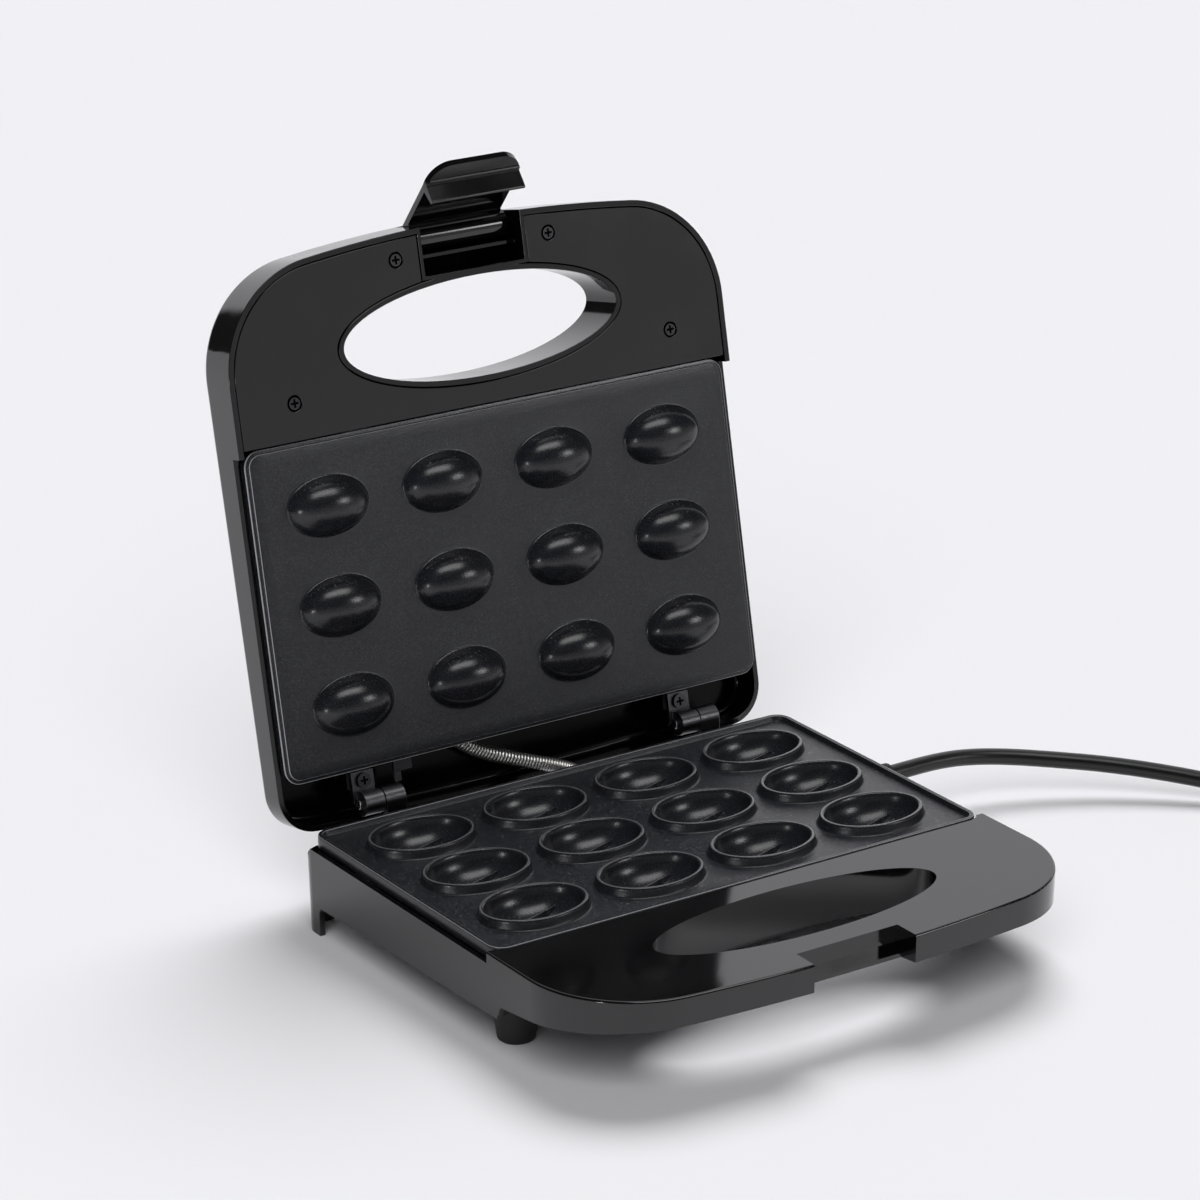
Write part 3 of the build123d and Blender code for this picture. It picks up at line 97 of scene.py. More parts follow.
# %% Cord
cord_radius = 3.45
lead_points = [
    (114.45, 19.19, 22.0), (137.4, 19.19, 22.0), (160.5, 20.79, 21.3), (177.0, 19.39, 19.8),
    (193.0, 14.19, 17.8), (209.0, 5.69, 15.7), (228.0, -6.81, 13.5), (248.0, -24.81, 10.7),
    (266.0, -44.81, 7.5), (276.08, -57.49, 3.45),
]
tail_points = [
    (366.73, -68.62, 11.25), (376.37, -57.13, 11.67), (383.42, -43.89, 12.08),
    (387.55, -29.47, 12.5), (388.6, -14.5, 12.5),
]
coil_start = np.array([290.1, -74.31])
coil_heading = math.radians(-52)
coil_radius, coil_step, coil_layer, layer_turns = 42.0, 8.2, 7.8, 0.875


def coil_points(per_turn=14):
    """Spiral in on the table, climb in the half turn where it reverses, spiral out on top.

    A curve of order 3 runs inside its control points, so they stand a little further out.
    """
    reverse = 2 * math.pi * layer_turns
    turned = np.linspace(0, 2 * reverse + math.pi, round(per_turn * (2 * layer_turns + 0.5)))
    rate = coil_step / (2 * math.pi)
    u = np.clip((turned - reverse) / math.pi, 0, 1)
    inner = coil_radius - rate * reverse
    radius = np.where(u <= 0, coil_radius - rate * turned, inner - rate * math.pi * u * (1 - u))
    radius = np.where(u >= 1, inner + rate * (turned - reverse - math.pi), radius)
    radius = radius / (0.75 + 0.25 * math.cos(2 * math.pi / per_turn))
    middle = coil_start + coil_radius * np.array([-math.sin(coil_heading), math.cos(coil_heading)])
    angle = coil_heading - math.pi / 2 + turned
    xy = middle + radius[:, None] * np.stack([np.cos(angle), np.sin(angle)], 1)
    return np.c_[xy, cord_radius + coil_layer * (1 - np.cos(math.pi * u)) / 2]


route = np.vstack([lead_points, coil_points(), tail_points]) / 1000
cord_line = bpy.data.curves.new("mains_cord", "CURVE")
cord_line.dimensions = "3D"
cord_line.bevel_depth = cord_radius / 1000
cord_line.bevel_resolution = 5
cord_line.use_fill_caps = True
cord_line.resolution_u = 8
strand = cord_line.splines.new("NURBS")
strand.points.add(len(route) - 1)
strand.points.foreach_set("co", np.c_[route, np.ones(len(route))].ravel())
strand.order_u = 3
strand.use_endpoint_u = True
mains_cord = add_object("mains_cord", cord_line)
print("cord length m", round(strand.calc_length(), 3), "control points", len(route))

# %% [markdown]
# ## Meshes from arrays
# Most pieces here are grids: rows of points worked out with numpy, joined by four-sided faces.
# One helper turns a list of such grids into one closed, smooth mesh.

# %% Grid helper
grid_weld = 4e-6  # metres


def grid_faces(rows, columns, around, first):
    """Faces between neighbouring rows and columns, numbered from the first point."""
    across = np.arange(columns if around else columns - 1)
    i, j = np.meshgrid(np.arange(rows - 1) * columns, across, indexing="ij")
    k = (j + 1) % columns
    quads = np.stack([i + j, i + k, i + columns + k, i + columns + j], -1)
    return quads.reshape(-1, 4) + first


def surface(name, grids, material, around=True, ends=True, sharp=40, values=None, closed=()):
    """Mesh of several grids in millimetres: doubles merged, ends closed, faces turned outwards.

    Grids in closed always get both their end faces. The others get them as ends says, but a
    last row as small as a point is closed in any case.
    """
    points, faces, first = [], [], 0
    for k, grid in enumerate([*grids, *closed]):
        rows, columns = grid.shape[:2]
        capped = ends or k >= len(grids)
        points.append(grid.reshape(-1, 3) / 1000)
        faces += grid_faces(rows, columns, around, first).tolist()
        if capped:
            faces.append(list(range(first, first + columns)))
        first += rows * columns
        if around and (capped or grid[-1].std(axis=0).max() < 1):
            faces.append(list(range(first - columns, first)))
    mesh = bpy.data.meshes.new(name)
    mesh.from_pydata(np.vstack(points), [], faces)
    if values is not None:
        attribute = mesh.attributes.new("polish_and_highlight", "FLOAT", "POINT")
        attribute.data.foreach_set("value", values.astype(np.float32))
    welded = bmesh.new()
    welded.from_mesh(mesh)
    bmesh.ops.remove_doubles(welded, verts=welded.verts, dist=grid_weld)
    bmesh.ops.recalc_face_normals(welded, faces=welded.faces)
    open_edges = sum(not edge.is_manifold for edge in welded.edges)
    welded.to_mesh(mesh)
    welded.free()
    mesh.polygons.foreach_set("use_smooth", np.ones(len(mesh.polygons), bool))
    mesh.set_sharp_from_angle(angle=math.radians(sharp))
    mesh.materials.append(material)
    print(name, len(mesh.polygons), "faces,", open_edges, "open edges")
    return add_object(name, mesh)


print("3 rows of 8 points round a tube give", len(grid_faces(3, 8, True, 0)), "faces")

# %% Loops and stacks
def loop(half_x, half_y, radius, per_corner=7, per_side=6):
    """Rounded rectangle as one row of points, the same count for every size.

    A quarter circle stands at each corner, and evenly spaced points join it to the next.
    """
    arcs = []
    for k, (sx, sy) in enumerate(((1, 1), (-1, 1), (-1, -1), (1, -1))):
        turned = np.linspace(0, math.pi / 2, per_corner) + k * math.pi / 2
        middle = np.array([sx * (half_x - radius), sy * (half_y - radius)])
        arcs.append(middle + radius * np.stack([np.cos(turned), np.sin(turned)], 1))
    share = np.linspace(0, 1, per_side + 2)[1:-1, None]
    row = []
    for arc, following in zip(arcs, arcs[1:] + arcs[:1]):
        row += [arc, arc[-1] * (1 - share) + following[0] * share]
    return np.vstack(row)


def stack(rows):
    """Grid from rows of (loop, height), each loop an array of x and y."""
    return np.stack([np.c_[xy, np.full(len(xy), z)] for xy, z in rows])


print("a loop has", len(loop(10, 5, 2)), "points")

# %% [markdown]
# ## Finishes
# Each finish is a small node tree. Effects that several finishes share are node groups: a fine
# moulding grain, a flecked coating and a soft wear of fingerprints and dust. A group hands over
# masks and heights only, and the Principled shader of each material uses them.

# %% Fine grain
def new_group(name, inputs, outputs):
    """Empty shader group with float sockets given as name and value, and its named outputs."""
    group = bpy.data.node_groups.new(name, "ShaderNodeTree")
    for label, value in inputs:
        socket = group.interface.new_socket(label, in_out="INPUT", socket_type="NodeSocketFloat")
        socket.default_value = value
    for label in outputs:
        group.interface.new_socket(label, in_out="OUTPUT", socket_type="NodeSocketFloat")
    return group, group.nodes.new("NodeGroupInput"), group.nodes.new("NodeGroupOutput")


def feed(tree, socket, value):
    """Link an input to another node's output, or set it to a number or a colour."""
    if hasattr(value, "is_linked"):
        tree.links.new(value, socket)
    else:
        socket.default_value = (*value, 1) if isinstance(value, tuple) else value


def noise(tree, scale, detail=2.0, rough=0.5):
    """Noise texture on Object coordinates at a scale per metre."""
    place = tree.nodes.new("ShaderNodeTexCoord")
    texture = tree.nodes.new("ShaderNodeTexNoise")
    texture.inputs["Detail"].default_value = detail
    texture.inputs["Roughness"].default_value = rough
    feed(tree, texture.inputs["Scale"], scale)
    tree.links.new(place.outputs["Object"], texture.inputs["Vector"])
    return texture


def math_node(tree, kind, a, b=None, c=None):
    """Math node whose inputs are sockets or numbers; gives its output socket."""
    node = tree.nodes.new("ShaderNodeMath")
    node.operation = kind
    for socket, value in zip(node.inputs, (a, b, c)):
        if value is not None:
            feed(tree, socket, value)
    return node.outputs[0]


grain_group, grain_in, grain_out = new_group(
    "Fine grain", [("Scale", 3000.0), ("Wave", 60.0), ("Wave Depth", 0.3)], ["Height"])
fine = noise(grain_group, grain_in.outputs["Scale"], 3.0, 0.6).outputs["Fac"]
wavy = noise(grain_group, grain_in.outputs["Wave"], 1.0).outputs["Fac"]
height = math_node(grain_group, "MULTIPLY_ADD", wavy, grain_in.outputs["Wave Depth"], fine)
grain_group.links.new(height, grain_out.inputs["Height"])
print(grain_group.name, "has", len(grain_group.nodes), "nodes")

# %% [markdown]
# The coating of the plates is sprayed with fine lighter flecks. A Voronoi texture divides
# space into cells of about one size, and a share of them is chosen by their random colour.
# That gives separate flecks, where noise would give clouds.

# %% Coating flecks
def smooth_range(tree, value, low, high, to_low=0.0, to_high=1.0):
    """Map a socket from one range onto another, eased at both ends."""
    node = tree.nodes.new("ShaderNodeMapRange")
    node.interpolation_type = "SMOOTHSTEP"
    labels = ("From Min", "From Max", "To Min", "To Max")
    for label, number in zip(labels, (low, high, to_low, to_high)):
        node.inputs[label].default_value = number
    tree.links.new(value, node.inputs["Value"])
    return node.outputs["Result"]


fleck_group, fleck_in, fleck_out = new_group(
    "Coating flecks", [("Scale", 1500.0), ("Share", 0.2)], ["Mask", "Height"])
place = fleck_group.nodes.new("ShaderNodeTexCoord")
cells = fleck_group.nodes.new("ShaderNodeTexVoronoi")
fleck_group.links.new(place.outputs["Object"], cells.inputs["Vector"])
fleck_group.links.new(fleck_in.outputs["Scale"], cells.inputs["Scale"])
split = fleck_group.nodes.new("ShaderNodeSeparateColor")
fleck_group.links.new(cells.outputs["Color"], split.inputs["Color"])
chosen = math_node(fleck_group, "LESS_THAN", split.outputs["Red"], fleck_in.outputs["Share"])
near = smooth_range(fleck_group, cells.outputs["Distance"], 0.25, 0.55, 1.0, 0.0)
mask = math_node(fleck_group, "MULTIPLY", chosen, near)
fleck_group.links.new(mask, fleck_out.inputs["Mask"])
fleck_group.links.new(cells.outputs["Distance"], fleck_out.inputs["Height"])
print(fleck_group.name, "has", len(fleck_group.nodes), "nodes")

# %% [markdown]
# Handled plastic is never quite clean. Smudges dull its gloss in patches, and dust lies where
# a face looks up. Both stay faint, because the maker is new.

# %% Handling
wear_group, wear_in, wear_out = new_group(
    "Handling", [("Scale", 25.0), ("Dust", 0.3)], ["Smudge", "Dust"])
patch = noise(wear_group, wear_in.outputs["Scale"], 4.0, 0.6)
smudge = smooth_range(wear_group, patch.outputs["Fac"], 0.42, 0.72)
wear_group.links.new(smudge, wear_out.inputs["Smudge"])
facing = wear_group.nodes.new("ShaderNodeNewGeometry")
upward = wear_group.nodes.new("ShaderNodeSeparateXYZ")
wear_group.links.new(facing.outputs["Normal"], upward.inputs["Vector"])
settled = smooth_range(wear_group, upward.outputs["Z"], 0.5, 1.0)
specks = smooth_range(wear_group, noise(wear_group, 900.0, 2.0).outputs["Fac"], 0.62, 0.74)
dust = math_node(wear_group, "MULTIPLY", settled, specks)
dust = math_node(wear_group, "MULTIPLY", dust, wear_in.outputs["Dust"])
wear_group.links.new(dust, wear_out.inputs["Dust"])
print("groups", [g.name for g in bpy.data.node_groups])

# %% [markdown]
# ## Plain finishes
# Black plastics, rubber, enamel and bare metals differ only in colour, gloss, grain and dust.
# A tree drawn for each would be freer, but one function keeps them alike and short.

# %% Material helper
def group_node(tree, group, **values):
    """A group's node with some of its inputs set by name."""
    node = tree.nodes.new("ShaderNodeGroup")
    node.node_tree = group
    for label, value in values.items():
        node.inputs[label.replace("_", " ")].default_value = value
    return node


def mix_colour(tree, share, first, second):
    """Two colours mixed by a socket's value."""
    node = tree.nodes.new("ShaderNodeMix")
    node.data_type = "RGBA"
    sockets = [s for s in node.inputs if s.type == "RGBA"]
    for socket, value in zip(sockets, (first, second)):
        feed(tree, socket, value)
    tree.links.new(share, node.inputs["Factor"])
    return [s for s in node.outputs if s.type == "RGBA"][0]


settled_dust = (0.35, 0.34, 0.33)


def new_material(name, colour, rough, metal=0.0, bump=0.02, grain=3000.0, wave=60.0,
                 wave_depth=0.3, smudge=0.05, dust=0.3, second=None, index=1.5):
    """Finish whose colour drifts and holds dust, with smudges in its gloss and a grain.

    The bump is the grain's height in millimetres; grain and wave are scales per metre.
    """
    material = bpy.data.materials.new(name)
    material.use_nodes = True
    tree = material.node_tree
    shader = tree.nodes["Principled BSDF"]
    shader.inputs["Metallic"].default_value = metal
    shader.inputs["IOR"].default_value = index
    handling = group_node(tree, wear_group, Dust=dust)
    drift = noise(tree, 8.0).outputs["Fac"]
    lighter = second or tuple(min(1, c * 1.3 + 0.0004) for c in colour)
    mixed = mix_colour(tree, drift, colour, lighter)
    mixed = mix_colour(tree, handling.outputs["Dust"], mixed, settled_dust)
    tree.links.new(mixed, shader.inputs["Base Color"])
    level = math_node(tree, "MULTIPLY_ADD", handling.outputs["Smudge"], smudge, rough)
    tree.links.new(level, shader.inputs["Roughness"])
    texture = group_node(tree, grain_group, Scale=grain, Wave=wave, Wave_Depth=wave_depth)
    relief = tree.nodes.new("ShaderNodeBump")
    relief.inputs["Strength"].default_value = 1.0
    relief.inputs["Distance"].default_value = bump / 1000
    tree.links.new(texture.outputs["Height"], relief.inputs["Height"])
    tree.links.new(relief.outputs["Normal"], shader.inputs["Normal"])
    return material


print("dust colour", settled_dust)

# %% Plastics, rubber and ceramic
gloss_black = new_material(
    "gloss_black", (0.002, 0.002, 0.0022), 0.07, bump=0.003, index=1.6,
    grain=1200, wave=45, wave_depth=2.0, dust=0.015)
inner_black = new_material(
    "inner_black", (0.005, 0.005, 0.0053), 0.12, bump=0.003, index=1.65,
    grain=1500, smudge=0.06, dust=0.02)
cavity_black = new_material(
    "cavity_black", (0.0008, 0.0008, 0.0008), 0.14, bump=0.006, grain=2500, dust=0.0, index=1.25)
# The recess finish is painted shade: nearly black and hardly reflecting, for the deep latch bay,
# the cross slots of the lid's screws and the recesses round them.
recess_painted_shade = new_material(
    "recess_painted_shade", (0.0006, 0.0006, 0.0006), 0.6, bump=0.006, grain=2500, dust=0.0, index=1.12)
foot_rubber = new_material(
    "foot_rubber", (0.005, 0.005, 0.005), 0.6, bump=0.04, grain=2200, dust=0.06)
sheath = new_material(
    "cord_sheath", (0.0022, 0.0022, 0.0022), 0.34, bump=0.03, grain=1800, wave=30,
    wave_depth=1.0, dust=0.05)
plug_black = new_material(
    "plug_black", (0.013, 0.013, 0.013), 0.45, bump=0.04, grain=2200, dust=0.2)
ceramic = new_material("ceramic", (0.62, 0.6, 0.56), 0.4, grain=2000, dust=0.1)
wire_red = new_material("wire_red", (0.35, 0.04, 0.03), 0.45, bump=0.03, grain=2500, dust=0.1)
print("materials so far", len(bpy.data.materials))

# %% Metals
def metal_material(name, colour, rough, bump, grain, dust=0.0, second=None):
    """Finish of bare, plated or enamelled metal."""
    return new_material(name, colour, rough, 1.0, bump, grain, dust=dust, second=second)


enamel_black = metal_material("enamel_black", (0.09, 0.09, 0.095), 0.3, 0.05, 2200, dust=0.02)
screw_black = metal_material("screw_black", (0.06, 0.06, 0.062), 0.22, 0.006, 4000, dust=0.03)
sheet_metal = metal_material("sheet_metal", (0.42, 0.43, 0.44), 0.3, 0.01, 4000)
element_metal = metal_material(
    "element_metal", (0.3, 0.27, 0.24), 0.42, 0.02, 2500, second=(0.45, 0.42, 0.38))
spring_metal = metal_material("spring_metal", (0.85, 0.82, 0.76), 0.36, 0.004, 6000)
pin_metal = metal_material("pin_metal", (0.5, 0.5, 0.5), 0.25, 0.004, 5000)
pin_nickel = metal_material("pin_nickel", (0.6, 0.57, 0.5), 0.2, 0.004, 5000)
print("materials so far", len(bpy.data.materials))

# %% [markdown]
# ## Non-stick coating
# The plates are cast metal, sprayed with a dark coating that has fine lighter flecks. The nut
# forms are smoother and shine more. Along crisp edges a light metal colour is mixed in, a painted
# highlight where the edges catch the lamps. An image could paint all this, but a value stored at
# each point of the mesh follows the form at any size. Here it is the attribute
# "polish_and_highlight", which runs from 0 on the flat plate to 1 on the nut forms, and goes
# above 1 at crisp edges, where it paints the highlight.

# %% Non-stick coating
# The second colour is a painted highlight for crisp edges, given the colour of bare metal.
fleck_colour, edge_highlight_metal = (0.10, 0.104, 0.122), (0.42, 0.42, 0.44)
flat_rough, nut_rough = 0.33, 0.22
flat_flecks, nut_flecks, fleck_gloss = 0.6, 0.1, 0.1
flat_relief, nut_relief = 1.0, 0.25


def coating_material(name, colour):
    """Coating whose flecks, gloss, grain and painted edge highlight follow polish_and_highlight."""
    material = new_material(name, colour, flat_rough, bump=0.04)
    tree = material.node_tree
    shader = tree.nodes["Principled BSDF"]
    flecks = group_node(tree, fleck_group, Scale=2000.0, Share=0.45)
    polish_and_highlight = tree.nodes.new("ShaderNodeAttribute")
    polish_and_highlight.attribute_name = "polish_and_highlight"
    rest = math_node(tree, "SUBTRACT", 1.0, polish_and_highlight.outputs["Fac"])
    dull = math_node(tree, "MAXIMUM", rest, 0.0)
    seen_flecks = math_node(tree, "MULTIPLY_ADD", dull, flat_flecks - nut_flecks, nut_flecks)
    seen_flecks = math_node(tree, "MULTIPLY", flecks.outputs["Mask"], seen_flecks)
    under = shader.inputs["Base Color"].links[0].from_socket
    coated = mix_colour(tree, seen_flecks, under, fleck_colour)
    # Values above 1 mix in the edge colour, a painted highlight.
    edge_highlight = smooth_range(tree, polish_and_highlight.outputs["Fac"], 1.0, 2.0)
    tree.links.new(mix_colour(tree, edge_highlight, coated, edge_highlight_metal), shader.inputs["Base Color"])
    level = math_node(tree, "MULTIPLY_ADD", dull, flat_rough - nut_rough, nut_rough)
    glint = math_node(tree, "MULTIPLY", flecks.outputs["Mask"], -fleck_gloss)
    level = math_node(tree, "MULTIPLY_ADD", glint, dull, level)
    tree.links.new(level, shader.inputs["Roughness"])
    relief = shader.inputs["Normal"].links[0].from_node
    grain = relief.inputs["Height"].links[0].from_socket
    height = math_node(tree, "ADD", grain, flecks.outputs["Height"])
    depth = math_node(tree, "MULTIPLY_ADD", dull, flat_relief - nut_relief, nut_relief)
    tree.links.new(math_node(tree, "MULTIPLY", height, depth), relief.inputs["Height"])
    return material


coating = coating_material("nonstick_coating", (0.010, 0.0105, 0.0135))
print(coating.name, "has", len(coating.node_tree.nodes), "nodes")

# %% [markdown]
# Two small lamp lenses sit on the lid's outer face. They are tinted clear plastic, but clear
# glass on a black lid would look black. So a part of the colour stays on the surface.

# %% Lenses
def glass_material(name, colour):
    """Tinted clear plastic of a small lens."""
    material = new_material(name, colour, 0.12, bump=0.002, dust=0.0, index=1.49)
    shader = material.node_tree.nodes["Principled BSDF"]
    shader.inputs["Transmission Weight"].default_value = 0.6
    return material


lens_red = glass_material("lens_red", (0.5, 0.03, 0.02))
lens_green = glass_material("lens_green", (0.03, 0.35, 0.06))
print("materials", len(bpy.data.materials))

# %% [markdown]
# ## Housings, covers and small parts
# The moulded pieces keep the frame's shapes. They could be modelled anew, but then they might
# no longer fit each other. A frame mesh is loose triangles, so a copy is welded, its flat
# faces are joined, its sharp edges get a small rounding that catches the light, and the copy
# stands in for the frame's own piece.

# %% Rounding
frame_weld, flat_degrees = 3e-6, 0.3


def rounded_copy(node, material, rounding, body, sharp=32):
    """Welded copy of a frame piece with rounded edges, standing in for that piece."""
    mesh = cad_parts[node].data.copy()
    mesh.name = node + "_made"
    if "custom_normal" in mesh.attributes:
        mesh.attributes.remove(mesh.attributes["custom_normal"])
    welded = bmesh.new()
    welded.from_mesh(mesh)
    bmesh.ops.remove_doubles(welded, verts=welded.verts, dist=frame_weld)
    bmesh.ops.dissolve_limit(
        welded, angle_limit=math.radians(flat_degrees), verts=welded.verts, edges=welded.edges)
    welded.to_mesh(mesh)
    welded.free()
    mesh.materials.clear()
    mesh.materials.append(material)
    mesh.polygons.foreach_set("use_smooth", np.ones(len(mesh.polygons), bool))
    mesh.polygons.foreach_set("material_index", np.zeros(len(mesh.polygons), np.int32))
    mesh.set_sharp_from_angle(angle=math.radians(sharp))
    made = add_object(node + "_made", mesh)
    if rounding:
        bevel = made.modifiers.new("rounding", "BEVEL")
        bevel.width = rounding / 1000
        bevel.segments = 2
        bevel.limit_method = "ANGLE"
        bevel.angle_limit = math.radians(sharp)
        bevel.miter_outer = "MITER_ARC"
    even = made.modifiers.new("even_shading", "WEIGHTED_NORMAL")
    even.keep_sharp = True
    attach(made, body)
    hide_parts(node)
    return made


# %% Rounded copies
copies = [
    ("base_shell", gloss_black, 0.35, "base"),
    ("base_bottom_cover", inner_black, 0.3, "base"),
    ("handle_bottom_cover", inner_black, 0.3, "base"),
    ("lid_shell", gloss_black, 0.35, "lid"),
    ("lid_inner_cover", inner_black, 0.45, "lid"),
    ("latch", gloss_black, 0.4, "latch_arm"),
    ("latch_pin", pin_metal, 0.2, "lid"),
    ("front_feet", foot_rubber, 0.4, "base"),
    ("left_hinge_base_leaf", enamel_black, 0.25, "base"),
    ("right_hinge_base_leaf", enamel_black, 0.25, "base"),
    ("left_hinge_lid_leaf", enamel_black, 0.25, "lid"),
    ("right_hinge_lid_leaf", enamel_black, 0.25, "lid"),
    ("left_hinge_pin", pin_metal, 0.2, "base"),
    ("right_hinge_pin", pin_metal, 0.2, "base"),
    ("base_cover_screws", screw_black, 0.25, "base"),
    ("lower_plate_screws", screw_black, 0.25, "base"),
    ("base_hinge_screws", screw_black, 0.25, "base"),
    ("lid_hinge_screws", screw_black, 0.25, "lid"),
    ("lid_cover_screws", screw_black, 0.25, "lid"),
    ("lower_reflector", sheet_metal, 0.15, "base"),
    ("upper_reflector", sheet_metal, 0.15, "lid"),
    ("lower_element_clamps", sheet_metal, 0.15, "base"),
    ("upper_element_clamps", sheet_metal, 0.15, "lid"),
    ("lower_heating_element", element_metal, 0, "base"),
    ("upper_heating_element", element_metal, 0, "lid"),
    ("thermostat", ceramic, 0, "base"),
    ("terminal_block", ceramic, 0.3, "base"),
    ("thermal_fuse", sheet_metal, 0, "base"),
    ("base_wiring", wire_red, 0, "base"),
    ("power_lamp_lens", lens_red, 0.2, "lid"),
    ("ready_lamp_lens", lens_green, 0.2, "lid"),
    ("neon_lamps", lens_red, 0, "lid"),
    ("plug_pins", pin_nickel, 0.1, "base"),
]
copied = {row[0]: rounded_copy(*row) for row in copies}
print("rounded copies", len(copied))

# %% [markdown]
# ## Inside of the lid
# Only the outside of a moulded lid is polished, and its screws sit in recesses that get a painted
# shade. The faces could be picked by hand, but a rule on their place and direction still holds
# when the packed model changes. The lid swings about a line parallel to x. Its forms are easier
# to name as if it were shut, so they are swung back first.

# %% The lid's swing
hinge_y, hinge_z, opened = 75.44, 40.15, math.radians(101.9)


def swung(points, angle=opened, about=(hinge_y, hinge_z)):
    """Points turned about the hinge line by the rotation formula in y and z."""
    y, z = points[..., 1] - about[0], points[..., 2] - about[1]
    turned_y = about[0] + y * math.cos(angle) + z * math.sin(angle)
    turned_z = about[1] - y * math.sin(angle) + z * math.cos(angle)
    return np.stack([points[..., 0], turned_y, turned_z], -1)


def swung_back(points, about=(hinge_y, hinge_z)):
    """Points of the open lid as they lie when it is shut."""
    return swung(points, -opened, about)


print("hinge line at y", hinge_y, "z", hinge_z)

# %% Polished and dull faces
# A face belongs to the inside where it looks towards the lid's middle, apart from the wall of
# the finger opening. The deep latch bay and the recesses round the screws get a painted shade:
# a nearly black finish that hardly reflects, because their walls shade each other.
screw_places = np.array([(s * x, y) for s in (-1, 1) for x, y in ((87.3, -83.17), (35.2, -130.37))])
lid_middle, handle_start = np.array([0, -25.0, 50.0]), -72
opening_y, opening_half_x, opening_half_y = -99.8, 66, 23
bay_half_x, bay_y, bay_low, bay_high = 24.0, -121.0, 46.6, 60.5


def shut_faces(mesh):
    """Centres and normals of a lid mesh's faces in millimetres, as if the lid were shut."""
    centres, normals = np.empty(len(mesh.polygons) * 3), np.empty(len(mesh.polygons) * 3)
    mesh.polygons.foreach_get("center", centres)
    mesh.polygons.foreach_get("normal", normals)
    return swung_back(centres.reshape(-1, 3) * 1000), swung_back(normals.reshape(-1, 3), (0, 0))


shell = copied["lid_shell"].data
shell.materials.append(cavity_black)
shell.materials.append(recess_painted_shade)
shut, looks = shut_faces(shell)
inward = ((shut - lid_middle) * looks).sum(1) < 0
opening = (np.abs(shut[:, 0]) < opening_half_x) & (np.abs(shut[:, 1] - opening_y) < opening_half_y)
inside = inward & ~opening & (shut[:, 1] > handle_start)
bay = inward & (np.abs(shut[:, 0]) < bay_half_x) & (shut[:, 1] < bay_y)
bay &= (shut[:, 2] > bay_low) & (shut[:, 2] < bay_high)
shell.polygons.foreach_set("material_index", (inside + 2 * (bay & ~inside)).astype(np.int32))
print("inside faces", int(inside.sum()), "of", len(inside))

# %% Sunk faces
# Faces a little under a piece's outer face, near a screw where a reach is given. They are the
# cross slots and the recesses round the screws, and they get a painted shade.
least_depth, most_depth, looks_down = 0.3, 1.3, -0.9
reaches = (("lid_cover_screws", 2.0), ("lid_hinge_screws", None), ("lid_inner_cover", 3.3))
for name, reach in reaches:
    mesh = copied[name].data
    mesh.materials.append(recess_painted_shade)
    shut, looks = shut_faces(mesh)
    outer = shut[:, 2][looks[:, 2] < looks_down].min()
    sunk = (shut[:, 2] > outer + least_depth) & (shut[:, 2] < outer + most_depth)
    if reach is not None:
        away = np.linalg.norm(shut[:, None, :2] - screw_places, axis=2)
        sunk &= away.min(1) < reach
    mesh.polygons.foreach_set("material_index", sunk.astype(np.int32))
    print(name, "outer height", round(float(outer), 2), "sunk faces", int(sunk.sum()))

# %% Slimmer screw heads
# The heads are narrower than their recesses, which leaves a dark ring round each.
shank_reach, head_share = 2.5, 0.8
mesh = copied["lid_cover_screws"].data
points = np.empty(len(mesh.vertices) * 3, np.float32)
mesh.vertices.foreach_get("co", points)
points = points.reshape(-1, 3) * 1000
from_screws = swung_back(points)[:, None, :2] - screw_places
nearest = from_screws[np.arange(len(points)), np.linalg.norm(from_screws, axis=2).argmin(1)]
rim = np.linalg.norm(nearest, axis=1) > shank_reach
step = np.c_[nearest * rim[:, None] * (head_share - 1), np.zeros(len(points))]
points += swung(step, about=(0, 0))
mesh.vertices.foreach_set("co", (points / 1000).ravel().astype(np.float32))
mesh.update()
print("head points moved", int(rim.sum()))

# %% [markdown]
# ## Baking plates
# Each nut form sits in the middle of a rectangular cell, and twelve equal cells tile a plate.
# One cell is a grid: its rows run from the cell's edge over the ring or dome to the middle,
# and its columns run round. Rows are ellipses, except the first, which is the cell's edge.
# Neighbouring cells share their edge points, so the whole plate welds into one closed skin.
# Bowls cut out of a slab would leave long thin faces, which shade badly on a shiny surface.

# %% Nut cells
columns, rows = 4, 3
column_pitch, row_pitch = 52.0, 39.23
plate_y, ring_top = -2.81, 41.5
plate_floor, plate_under, rim_top = ring_top - 4.0, ring_top - 6.8, ring_top - 1.5
bowl, dome = (20.0, 13.7, 12.0), (17.4, 11.0, 9.3)
side_steps, end_steps = 14, 18


def rectangle(half_x, half_y, along_x, along_y):
    """Points round a rectangle from its lower right corner, in so many equal steps on each side."""
    up = np.linspace(-half_y, half_y, along_y + 1)[:-1]
    left = np.linspace(half_x, -half_x, along_x + 1)[:-1]
    sides = [(np.full(along_y, half_x), up), (left, np.full(along_x, half_y))]
    sides += [(-x, -y) for x, y in sides]
    return np.vstack([np.stack(s, 1) for s in sides])


cell_edge = rectangle(column_pitch / 2, row_pitch / 2, end_steps, side_steps)


def cell(form, level, sections):
    """Grid from the cell's edge inwards. A row is the form's ellipse times a share plus a width."""
    turned = np.arctan2(cell_edge[:, 1] / form[1], cell_edge[:, 0] / form[0])
    share, width, height = np.array(sections).T
    x = (form[0] * share + width)[:, None] * np.cos(turned)
    y = (form[1] * share + width)[:, None] * np.sin(turned)
    z = np.repeat(height[:, None], len(turned), 1)
    edge = np.c_[cell_edge, np.full(len(turned), level)]
    return np.concatenate([edge[None], np.stack([x, y, z], -1)])


